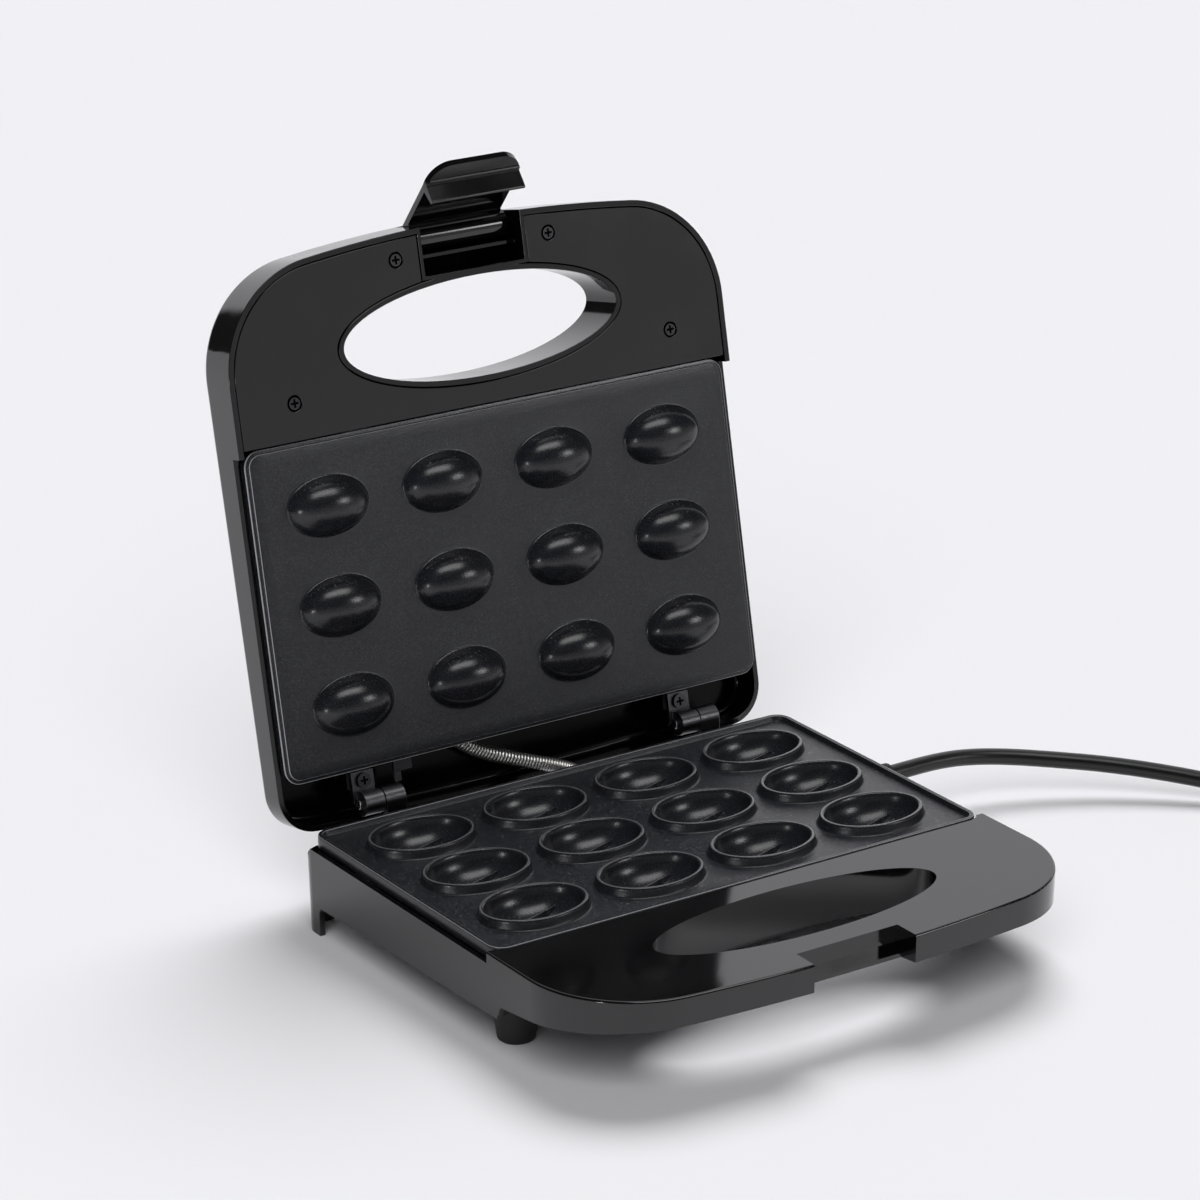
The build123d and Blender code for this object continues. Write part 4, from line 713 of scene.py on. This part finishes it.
print("a cell's edge has", len(cell_edge), "points")

# %% Bowls and their bosses
boss_foot = 25.0
# A flat cell ends in a row with this share of its form, which one face closes.
stub = 0.02


def half_nut(form, level, direction, start, count=16):
    """Rows of an ellipsoid from an angle past its rim to its pole, up or down.

    The share is the angle's cosine. The height is the level plus the depth times its sine.
    """
    angles = np.linspace(start, math.pi / 2 - 0.02, count)
    return [(math.cos(a), 0.0, level + direction * form[2] * math.sin(a)) for a in angles]


def twelve(grid):
    """The cell's grid placed at every column and row."""
    x = (np.arange(columns) - (columns - 1) / 2) * column_pitch
    y = plate_y + (np.arange(rows) - (rows - 1) / 2) * row_pitch
    return [grid + np.array([along, up, 0]) for up in y for along in x]


ring_rows = [
    (1, 3.9, plate_floor), (1, 3.3, plate_floor + 0.07), (1, 2.85, plate_floor + 0.3),
    (1, 2.6, plate_floor + 0.75), (1, 2.25, ring_top - 1.2), (1, 2.1, ring_top - 0.55),
    (1, 1.93, ring_top - 0.22), (1, 1.65, ring_top - 0.05), (1, 1.3, ring_top),
    (1, 0.95, ring_top - 0.03), (1, 0.6, ring_top - 0.2), (1, 0.3, ring_top - 0.55),
    (1, 0.02, ring_top - 1.2),
]
bowl_cell = cell(bowl, plate_floor, ring_rows + half_nut(bowl, ring_top, -1, 0.16))
# Values above 1 paint a highlight along the ring's crisp top.
bowl_shine = [0, 0.1, 0.15, 0.2, 0.2, 0.3, 0.9, 1.0, 1.25, 1.35, 1.2]
bowl_shine += [0.95] * (len(bowl_cell) - len(bowl_shine))
boss_cell = cell(bowl, plate_under, [
    (1, 1.25, plate_under), (0.6, -0.5, boss_foot), (0.2, 0, boss_foot), (stub, 0, boss_foot)])
print("one bowl cell has", bowl_cell.shape[0] * bowl_cell.shape[1], "points")

# %% [markdown]
# Each bowl has a raised ridge across its floor, which presses the mark of a nut's seam into the
# dough. A bump in the material would only shade it, and its outline would stay flat. So it is
# a real form, one narrow section carried along a line over the bowl's floor.

# %% Seam ridges
# The section is a row of points given as a share of its height aside, a depth, and whether
# that is below the crest.
ridge_section = [
    (-0.35, 0.6, False), (-0.05, 0.08, True), (0.0, 0.0, True),
    (0.06, 0.06, True), (0.8, 0.6, False), (0.2, 1.4, False),
]
# The crest's value above 1 paints a highlight along it.
ridge_shine = [0.9, 0.95, 1.6, 0.95, 0.9, 0.9]
ridge_start, ridge_end, crest_bulge = (-9.0, 2.6), (14.0, 5.6), 0.3


def bowl_floor(xy):
    """Height of the bowl's ellipsoid.

    It is the depth times the root of one minus the squared shares, down from the ring's top.
    """
    share = (xy[:, 0] / bowl[0]) ** 2 + (xy[:, 1] / bowl[1]) ** 2
    return ring_top - bowl[2] * np.sqrt(1 - share)


def seam_ridge(start, end):
    """Ridge whose crest is the chord between two points of the bowl, plus a half sine."""
    way = np.linspace(0.01, 0.99, 26)
    middle = np.array(start) + (np.array(end) - start) * way[:, None]
    aside = np.array([start[1] - end[1], end[0] - start[0]]) / math.dist(start, end)
    low, high = bowl_floor(np.array([start, end]))
    crest = low + (high - low) * way + crest_bulge * np.sin(math.pi * way)
    tall = crest - bowl_floor(middle)
    grid = []
    for across, drop, from_crest in ridge_section:
        xy = middle + aside * (across * tall)[:, None]
        grid.append(np.c_[xy, (crest if from_crest else bowl_floor(xy)) - drop])
    return np.stack(grid, 1)


ridge_cell = seam_ridge(ridge_start, ridge_end)
print("one ridge has", ridge_cell.shape[0] * ridge_cell.shape[1], "points")

# %% [markdown]
# A raised border keeps the dough on the plate, and cast posts below take its screws and the
# clamps of the heating element. The border's loops have as many points as the block of cells
# has round its edge, so the two weld together without a gap.

# %% Border
inner_x, inner_y = columns * column_pitch / 2, rows * row_pitch / 2
half_x, half_y = 111.25, 65.5
long_steps, short_steps, corner_steps = columns * end_steps, rows * side_steps, 8


def rounded_loop(half_x, half_y, radius):
    """Rounded rectangle whose points pair with those of the block of cells, corner by corner."""
    straight_x, straight_y = half_x - radius, half_y - radius
    up = np.linspace(-straight_y, straight_y, short_steps - corner_steps + 1)
    left = np.linspace(straight_x, -straight_x, long_steps - corner_steps + 1)
    arc = np.linspace(0, math.pi / 2, corner_steps + 1)[1:-1]
    right = np.stack([np.full(len(up), half_x), up], 1)
    top = np.stack([left, np.full(len(left), half_y)], 1)
    first, second = (
        np.array([x, straight_y]) + radius * np.stack([np.cos(turned), np.sin(turned)], 1)
        for x, turned in ((straight_x, arc), (-straight_x, arc + math.pi / 2)))
    half = np.vstack([right, first, top, second])
    return np.roll(np.vstack([half, -half]), corner_steps // 2, axis=0)


def border(sections):
    """Grid of loops given as inset from the plate's edge, height and corner radius.

    The inset None stands for the edge of the block of cells.
    """
    loops = []
    for inset, height, radius in sections:
        if inset is None:
            xy = rectangle(inner_x, inner_y, long_steps, short_steps)
        else:
            xy = rounded_loop(half_x - inset, half_y - inset, radius)
        loops.append((xy + np.array([0, plate_y]), height))
    return stack(loops)


lower_border = border([
    (None, plate_floor, 0), (2.9, plate_floor, 4.0), (2.35, plate_floor + 0.15, 4.3),
    (2.05, plate_floor + 0.6, 4.5), (1.9, rim_top - 0.5, 4.6), (1.7, rim_top - 0.15, 4.8),
    (1.35, rim_top, 5.2), (0.6, rim_top, 5.9), (0.2, rim_top - 0.15, 6.3),
    (0.0, rim_top - 0.6, 6.5), (0.0, plate_under + 0.6, 6.5), (0.3, plate_under, 6.2),
    (None, plate_under, 0),
])
print("border loops", len(lower_border))

# %% Posts
corners = [(sx * 104.0, plate_y + sy * 61.0) for sx in (-1, 1) for sy in (-1, 1)]
clamps = [(x, plate_y) for x in (-52.0, 0.0, 52.0)]
stays = [(sx * 52.0, plate_y + sy * row_pitch) for sx in (-1, 1) for sy in (-1, 1)]


def posts(places, radius, first, last):
    """Round posts with a softened end, one closed grid for each place."""
    way = math.copysign(1, last - first)
    sections = [(radius, first), (radius, last - 0.3 * way), (radius - 0.3, last)]
    return [stack([(loop(r, r, r * 0.999) + np.array(p), z) for r, z in sections]) for p in places]


print("posts under the lower plate", len(corners + clamps + stays))

# %% Lower plate
def plate(name, open_grids, shines, closed_grids, ridges=()):
    """Plate mesh whose open grids share their edges, with the value polish at every point.

    An open grid has one value for each of its rows. It is 0 all over the closed grids.
    """
    values = [np.repeat(np.array(s, float), g.shape[1]) for g, s in zip(open_grids, shines)]
    values += [np.zeros(g.shape[0] * g.shape[1]) for g in closed_grids]
    values = np.concatenate(values + [np.tile(ridge_shine, len(g)) for g in ridges])
    closed = [*closed_grids, *ridges]
    return surface(name, open_grids, coating, ends=False, values=values, closed=closed)


bowls, bosses = twelve(bowl_cell), twelve(boss_cell)
# Values above 1 paint highlights along the rim's crisp edges.
lower_border_shine = [0, 0.1, 0.1, 0.2, 0.6, 1.6, 0.95, 0.95, 1.6, 0.4, 0.2, 0.2, 0.2]
boss_shine = [0] * len(boss_cell)
lower_shines = [bowl_shine] * len(bowls) + [boss_shine] * len(bosses) + [lower_border_shine]
post_start = plate_under + 1
lower_posts = posts(corners, 3.5, post_start, 24.5) + posts(clamps, 3.0, post_start, 28.1)
lower_posts += posts(stays, 3.0, post_start, 25.1)
lower_open = bowls + bosses + [lower_border]
lower_plate = plate("lower_plate_made", lower_open, lower_shines, lower_posts, twelve(ridge_cell))
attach(lower_plate, "base")
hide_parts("lower_plate")
print("lower plate points", len(lower_plate.data.vertices))

# %% [markdown]
# ## Upper plate
# The upper plate is the same tiling with domes that press the dough into the bowls. It is
# worked out as if the lid were shut and then swung open, so that its numbers stay easy to
# compare with the lower plate's. Its rim has a step, and its tabs reach the lid's hinge side.

# %% Upper plate
upper_face, upper_top = ring_top + 0.4, ring_top + 5.4
foot_rows = [
    (1, 1.8, upper_face), (1, 1.3, upper_face - 0.04), (1, 0.9, upper_face - 0.15),
    (1, 0.55, upper_face - 0.4), (1, 0.28, upper_face - 0.8), (1, 0.08, upper_face - 1.35),
]
dome_cell = cell(dome, upper_face, foot_rows + half_nut(dome, upper_face, -1, 0.25))
dome_shine = [0, 0.1, 0.3, 0.6] + [0.95] * (len(dome_cell) - 4)
upper_border = border([
    (None, upper_face, 0), (2.0, upper_face, 4.5), (1.78, upper_face + 0.06, 4.72),
    (1.65, upper_face + 0.25, 4.85), (1.6, upper_face + 0.6, 4.9), (1.45, upper_face + 0.75, 5.05),
    (0.4, upper_face + 0.78, 6.1), (0.12, upper_face + 0.87, 6.38), (0.0, upper_face + 1.15, 6.5),
    (0.0, upper_face + 1.45, 6.5), (0.0, upper_top - 0.5, 6.5), (0.5, upper_top, 6.0),
    (None, upper_top, 0),
])
flat_cell = cell(bowl, upper_top, [(0.5, 0, upper_top), (stub, 0, upper_top)])


def slab(middle_x, low_y, high_y, half_wide, low, high):
    """Plain rounded block as a closed grid."""
    xy = loop(half_wide, (high_y - low_y) / 2, 0.6) + np.array([middle_x, (low_y + high_y) / 2])
    return stack([(xy, low), (xy, high)])


# Two tabs at the hinge side, a small stepped one beside the left hinge, and two tongues in front.
tabs = [slab(x - 0.7, 58.19, 70.39, 5.0, 44.5, 46.5) for x in (-77.3, 72.4)]
tabs += [slab(-57.1, 60.0, 67.8, 4.1, 46.6, 48.0), slab(-59.8, 66.8, 71.8, 1.5, 46.6, 48.0)]
tongues = [slab(x, -72.81, -63.81, 6.0, 44.5, 46.5) for x in (-60.0, 60.0)]
post_start = upper_top - 1
upper_posts = posts(clamps, 3.0, post_start, upper_top + 6.6)
upper_posts += posts(stays, 3.0, post_start, upper_top + 8.6)
upper_closed = [swung(g) for g in tabs + tongues + upper_posts]
domes, flats = twelve(dome_cell), twelve(flat_cell)
# Values above 1 paint highlights along the rim's step and its outer edge.
upper_border_shine = [0, 0.1, 1.8, 1.8, 0.6, 0.4, 1.2, 2.0, 2.0, 0.7, 0.3, 0.3, 0.3]
flat_shine = [0] * len(flat_cell)
upper_shines = [dome_shine] * len(domes) + [flat_shine] * len(flats) + [upper_border_shine]
upper_open = [swung(g) for g in domes + flats + [upper_border]]
upper_plate = plate("upper_plate_made", upper_open, upper_shines, upper_closed)
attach(upper_plate, "lid")
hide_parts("upper_plate")
print("upper plate points", len(upper_plate.data.vertices))

# %% [markdown]
# ## Wound sleeve
# The leads cross the hinge inside a close-wound spring, which bends without kinking. A Screw
# modifier winds only straight springs. So a thin tube is carried along a helix, and the helix
# along one cubic curve, the line of the sleeve. A dark tube on the same line is the bundle of
# leads inside it.

# %% Sleeve
sleeve_line = np.array([
    (-30.5, 92.39, 52.7), (-20.1, 83.69, 38.6), (18.0, 81.69, 35.4), (18.0, 66.69, 31.0)])
winding_radius, wire_radius, leads_radius = 2.5, 0.5, 1.75
turns, steps_per_turn = 52, 14


def unit(vectors):
    """Vectors divided by their lengths."""
    return vectors / np.linalg.norm(vectors, axis=1, keepdims=True)


def cubic(t):
    """Points and unit directions of the sleeve's line: the Bernstein sum of four control points."""
    t = t[:, None]
    weights = np.hstack([(1 - t) ** 3, 3 * t * (1 - t) ** 2, 3 * t**2 * (1 - t), t**3])
    slope = np.hstack([-3 * (1 - t) ** 2, 3 * (1 - t) * (1 - 3 * t), 3 * t * (2 - 3 * t), 3 * t**2])
    return weights @ sleeve_line, unit(slope @ sleeve_line)


def square_to(way):
    """Two unit vectors square to each direction and to each other, the first one level."""
    level = unit(np.cross(way, [0, 0, 1.0]))
    return level, np.cross(level, way)


def tube(line, way, radius, sides):
    """Grid of circles round a line, each square to the line's direction there."""
    level, upright = square_to(way)
    turned = np.linspace(0, 2 * math.pi, sides, endpoint=False)[:, None]
    ring = level[:, None] * np.cos(turned) + upright[:, None] * np.sin(turned)
    return line[:, None] + radius * ring


t = np.linspace(0, 1, turns * steps_per_turn + 1)
middle, way = cubic(t)
level, upright = square_to(way)
wound = 2 * math.pi * turns * t[:, None]
helix = middle + winding_radius * (level * np.cos(wound) + upright * np.sin(wound))
wire = tube(helix, unit(np.gradient(helix, axis=0)), wire_radius, 8)
sleeve = surface("conduit_spring_made", [wire], spring_metal, sharp=60)
leads = tube(*cubic(np.linspace(0, 1, 60)), leads_radius, 16)
core = surface("lid_leads", [leads], sheath, sharp=60)
for piece, slot_name in ((sleeve, "spring_steel"), (core, "cord_sheath")):
    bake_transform(piece)
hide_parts("conduit_spring")
print("sleeve length mm", round(float(np.linalg.norm(np.diff(middle, axis=0), axis=1).sum()), 1))

# %% [markdown]
# ## Strain relief
# Where the cord leaves the housing, a ribbed rubber sleeve spreads the bend. Its profile is
# revolved about the cord's line, outside and bore in one closed skin. A Spin would do the
# same, but here all the ribs follow from one sine and stay even.

# %% Strain relief
cord_y, cord_z, gland_face = 19.19, 22.0, 114.1
gland_length, rib_pitch, ribs_end, gland_sides = 20.0, 2.6, 18.2, 40
x = np.linspace(0, gland_length, 121)
taper = 6.2 - 1.6 * x / gland_length
wave = np.clip(np.sin(2 * math.pi * (x - rib_pitch) / rib_pitch), 0, 1)
ribs = 0.55 * wave**0.5 * ((x > rib_pitch) & (x < ribs_end))
outer_profile = np.stack([gland_face + x, taper - ribs], 1)
outer_profile[-3:, 1] -= [0.1, 0.3, 0.7]
# A collar inside the housing's wall holds the sleeve. Its end outside is rounded just above.
gland_profile = np.vstack([
    [(109.7, 3.6), (109.7, 4.7), (111.3, 4.7), (111.3, 4.05)],
    [(gland_face, 4.05), (gland_face, 5.9)],
    outer_profile[1:],
    [(gland_face + gland_length, 3.65)],
])
gland_turn = np.linspace(0, 2 * math.pi, gland_sides, endpoint=False)
closed_profile = np.vstack([gland_profile, gland_profile[:1]])
gland_grid = np.stack([
    np.repeat(closed_profile[:, :1], gland_sides, 1),
    cord_y + closed_profile[:, 1:] * np.cos(gland_turn),
    cord_z + closed_profile[:, 1:] * np.sin(gland_turn),
], -1)
relief_sleeve = surface("cord_gland_made", [gland_grid], foot_rubber, ends=False, sharp=35)
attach(relief_sleeve, "base")
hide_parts("cord_gland")
print("strain relief points", len(relief_sleeve.data.vertices))

# %% [markdown]
# ## Plug
# The cord ends in a plain plug with two pins. Its body is a row of rounded rectangles that
# swell from the neck, with a waist and ribs for the fingers. A block with rounded edges would
# look stiff. Rows of equal count flow into one skin, like soft moulded plastic.

# %% Plug
plug_origin, plug_way = np.array([388.60, -14.50, 12.5]), np.array([0.069756, 0.997564, 0.0])
plug_side = np.array([-0.997564, 0.069756, 0.0])


def along_plug(sections):
    """Grid of rounded rectangles square to the plug's line, each at a distance from its start."""
    rings = []
    for distance, wide, high, radius in sections:
        xy = loop(wide, high, min(radius, high * 0.999, wide * 0.999))
        ring = plug_origin + distance * plug_way + xy[:, :1] * plug_side
        rings.append(ring + xy[:, 1:] * np.array([0, 0, 1.0]))
    return np.stack(rings)


plug_sections = [(0.0, 3.6, 3.6, 3.6), (0.0, 4.4, 4.4, 4.4)]
for k in range(5):
    start, radius = 2.6 * k, 4.4 + 0.24 * k
    groove, ridge = radius - 0.7, radius + 0.2
    plug_sections += [
        (start + 1.6, radius + 0.1, radius + 0.1, radius), (start + 2.0, groove, groove, radius),
        (start + 3.0, groove, groove, radius), (start + 3.4, ridge, ridge, ridge),
    ]
plug_sections += [
    (15.0, 5.6, 5.6, 5.5), (16.0, 8.0, 6.2, 4.4), (19.0, 9.8, 7.4, 5.4), (24.0, 12.2, 9.2, 6.6),
]
for k in range(3):
    start = 27.0 + 3.2 * k
    wide, high = 13.4 + 0.9 * k, 10.2 + 0.65 * k
    plug_sections += [
        (start, wide, high, 7.4), (start + 0.4, wide - 0.8, high - 0.8, 6.8),
        (start + 1.5, wide - 0.8, high - 0.8, 6.8), (start + 1.9, wide + 0.4, high + 0.3, 7.5),
    ]
plug_sections += [
    (38.0, 16.3, 12.3, 8.0), (42.0, 16.5, 12.5, 8.0), (51.5, 16.5, 12.5, 8.0),
    (52.6, 16.1, 12.1, 7.7), (53.0, 15.2, 11.2, 7.0),
]
plug = surface("plug_body_made", [along_plug(plug_sections)], plug_black, sharp=38)
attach(plug, "base")
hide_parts("plug_body")
mains_cord.data.materials.append(sheath)
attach(mains_cord, "base")
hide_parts("cord_lead", "cord_coil", "cord_tail")
print("plug points", len(plug.data.vertices))

# %% [markdown]
# ## Floor and light
# Gloss black shows only what it reflects, so the surroundings are shaped with care. The floor
# is a pale sheet that ends in front of the maker. The room is dim there, which keeps the front
# faces dark, and white beyond the maker, where the shallow reflections look.

# %% Floor
floor_x, floor_y = np.meshgrid(
    np.linspace(-3000, 4000, 3), np.linspace(-1200, 6000, 3), indexing="ij")
floor_grid = np.stack([floor_x, floor_y, np.zeros_like(floor_x)], -1)
paper_dark, paper_light = (0.86, 0.855, 0.885), (0.875, 0.87, 0.9)
paper = bpy.data.materials.new("pale_paper")
paper.use_nodes = True
paper_tree = paper.node_tree
paper_shader = paper_tree.nodes["Principled BSDF"]
paper_shader.inputs["Roughness"].default_value = 0.6
paper_shader.inputs["Specular IOR Level"].default_value = 0.2
paper_tone = noise(paper_tree, 2.0).outputs["Fac"]
paper_colour = mix_colour(paper_tree, paper_tone, paper_dark, paper_light)
paper_tree.links.new(paper_colour, paper_shader.inputs["Base Color"])
floor = surface("floor", [floor_grid], paper, around=False, ends=False)
for face in floor.data.polygons:
    if face.normal.z < 0:
        face.flip()
print("floor faces", len(floor.data.polygons))

# %% [markdown]
# The world stands in for the studio's walls. An image of a real studio would be richer, but a
# few ranges of direction are easier to steer. Mirrors see a white backdrop straight beyond the
# maker, seen from the camera's side, and a low glow towards the front. All else gets an even
# faint light, and the camera sees white.

# %% World
# The backdrop's range is of the cosine of the level angle to the way straight beyond the
# maker. The glow's ranges are of a direction's height and of its y.
view_back = (-0.5239, -0.7786)
backdrop_starts, backdrop_full = 0.70, 0.76
even_light, dim_room, glow, glow_top = 0.07, 0.04, 0.45, 0.35
front_full, front_ends = -0.35, 0.05
cool_white, seen_white = (1.0, 0.995, 1.03), (0.85, 0.845, 0.875)
world = bpy.data.worlds.new("studio")
world.use_nodes = True
bpy.context.scene.world = world
sky = world.node_tree
surround = sky.nodes["Background"]
ray = sky.nodes.new("ShaderNodeLightPath").outputs
direction = sky.nodes.new("ShaderNodeTexCoord")
axes = sky.nodes.new("ShaderNodeSeparateXYZ")
sky.links.new(direction.outputs["Generated"], axes.inputs["Vector"])
x, y, z = (axes.outputs[axis] for axis in "XYZ")

forward = math_node(sky, "MULTIPLY", x, view_back[0])
forward = math_node(sky, "MULTIPLY_ADD", y, view_back[1], forward)
level = math_node(sky, "SQRT", math_node(sky, "SUBTRACT", 1.0, math_node(sky, "POWER", z, 2.0)))
level = math_node(sky, "MULTIPLY", level, -math.hypot(*view_back))
beyond = math_node(sky, "DIVIDE", forward, level)
backdrop = smooth_range(sky, beyond, backdrop_starts, backdrop_full)
low = smooth_range(sky, z, 0.0, glow_top, glow, 0.0)
in_front = smooth_range(sky, y, front_full, front_ends, 1.0, 0.0)
room = math_node(sky, "MULTIPLY_ADD", low, in_front, dim_room)
mirrored = math_node(sky, "MAXIMUM", room, backdrop)
more = math_node(sky, "SUBTRACT", mirrored, even_light)
in_mirror = math_node(sky, "MAXIMUM", ray["Is Glossy Ray"], ray["Is Transmission Ray"])
strength = math_node(sky, "MULTIPLY_ADD", in_mirror, more, even_light)
strength = math_node(sky, "MAXIMUM", strength, ray["Is Camera Ray"])
sky.links.new(strength, surround.inputs["Strength"])
colour = mix_colour(sky, ray["Is Camera Ray"], cool_white, seen_white)
sky.links.new(colour, surround.inputs["Color"])
print("world", world.name)

# %% [markdown]
# The domes show where the lamps of such a picture stand, because each lamp gives each dome a
# highlight. There is a wide bank overhead, a small box low on the right and a bare lamp low
# on the left. Those three show in reflections only. A broad distant light from behind gives
# the shadow in front of the maker, and a weaker one fills it from the front.

# %% Lamps
aim = Vector((0, 0.08, 0.15))


def softbox(name, way, reach, wide, high, radiance, long_axis=None):
    """Area lamp of even radiance in a direction, its width level or along an axis."""
    lamp = bpy.data.lights.new(name, "AREA")
    lamp.shape = "RECTANGLE"
    lamp.size, lamp.size_y = wide, high
    lamp.energy = radiance * math.pi * wide * high
    holder = add_object(name, lamp)
    back = Vector(way).normalized()
    side = Vector(long_axis) if long_axis else Vector((0, 0, 1)).cross(back)
    side = (side - back * side.dot(back)).normalized()
    turn = Matrix((side, back.cross(side), back)).transposed()
    holder.matrix_world = Matrix.Translation(aim + back * reach) @ turn.to_4x4()
    holder.visible_diffuse = False


def broad_light(name, way, energy, degrees):
    """Soft distant light from a direction, which keeps out of the reflections."""
    lamp = bpy.data.lights.new(name, "SUN")
    lamp.energy, lamp.angle = energy, math.radians(degrees)
    holder = add_object(name, lamp)
    holder.matrix_world = Vector(way).to_track_quat("Z", "Y").to_matrix().to_4x4()
    holder.visible_glossy = False


softbox("overhead_bank", (0.15, -0.414, 0.917), 2.3, 1.7, 0.85, 3.8, (0.943, 0.026, -0.331))
softbox("low_right_box", (0.6, -0.74, 0.31), 2.2, 0.5, 0.42, 7.0)
softbox("low_left_lamp", (-0.84, -0.52, 0.09), 2.2, 0.2, 0.16, 34.0)
broad_light("back_light", (0.36, 0.42, 0.83), 2.3, 34)
broad_light("front_fill", (-0.42, -0.56, 0.71), 1.5, 45)
print("lamps", len(bpy.data.lights))

# %% [markdown]
# ## Finish
# The Standard view shows each colour about as it is written. Dressing a model must not change
# its size.

# %% Finish
bpy.context.scene.view_settings.view_transform = "Standard"
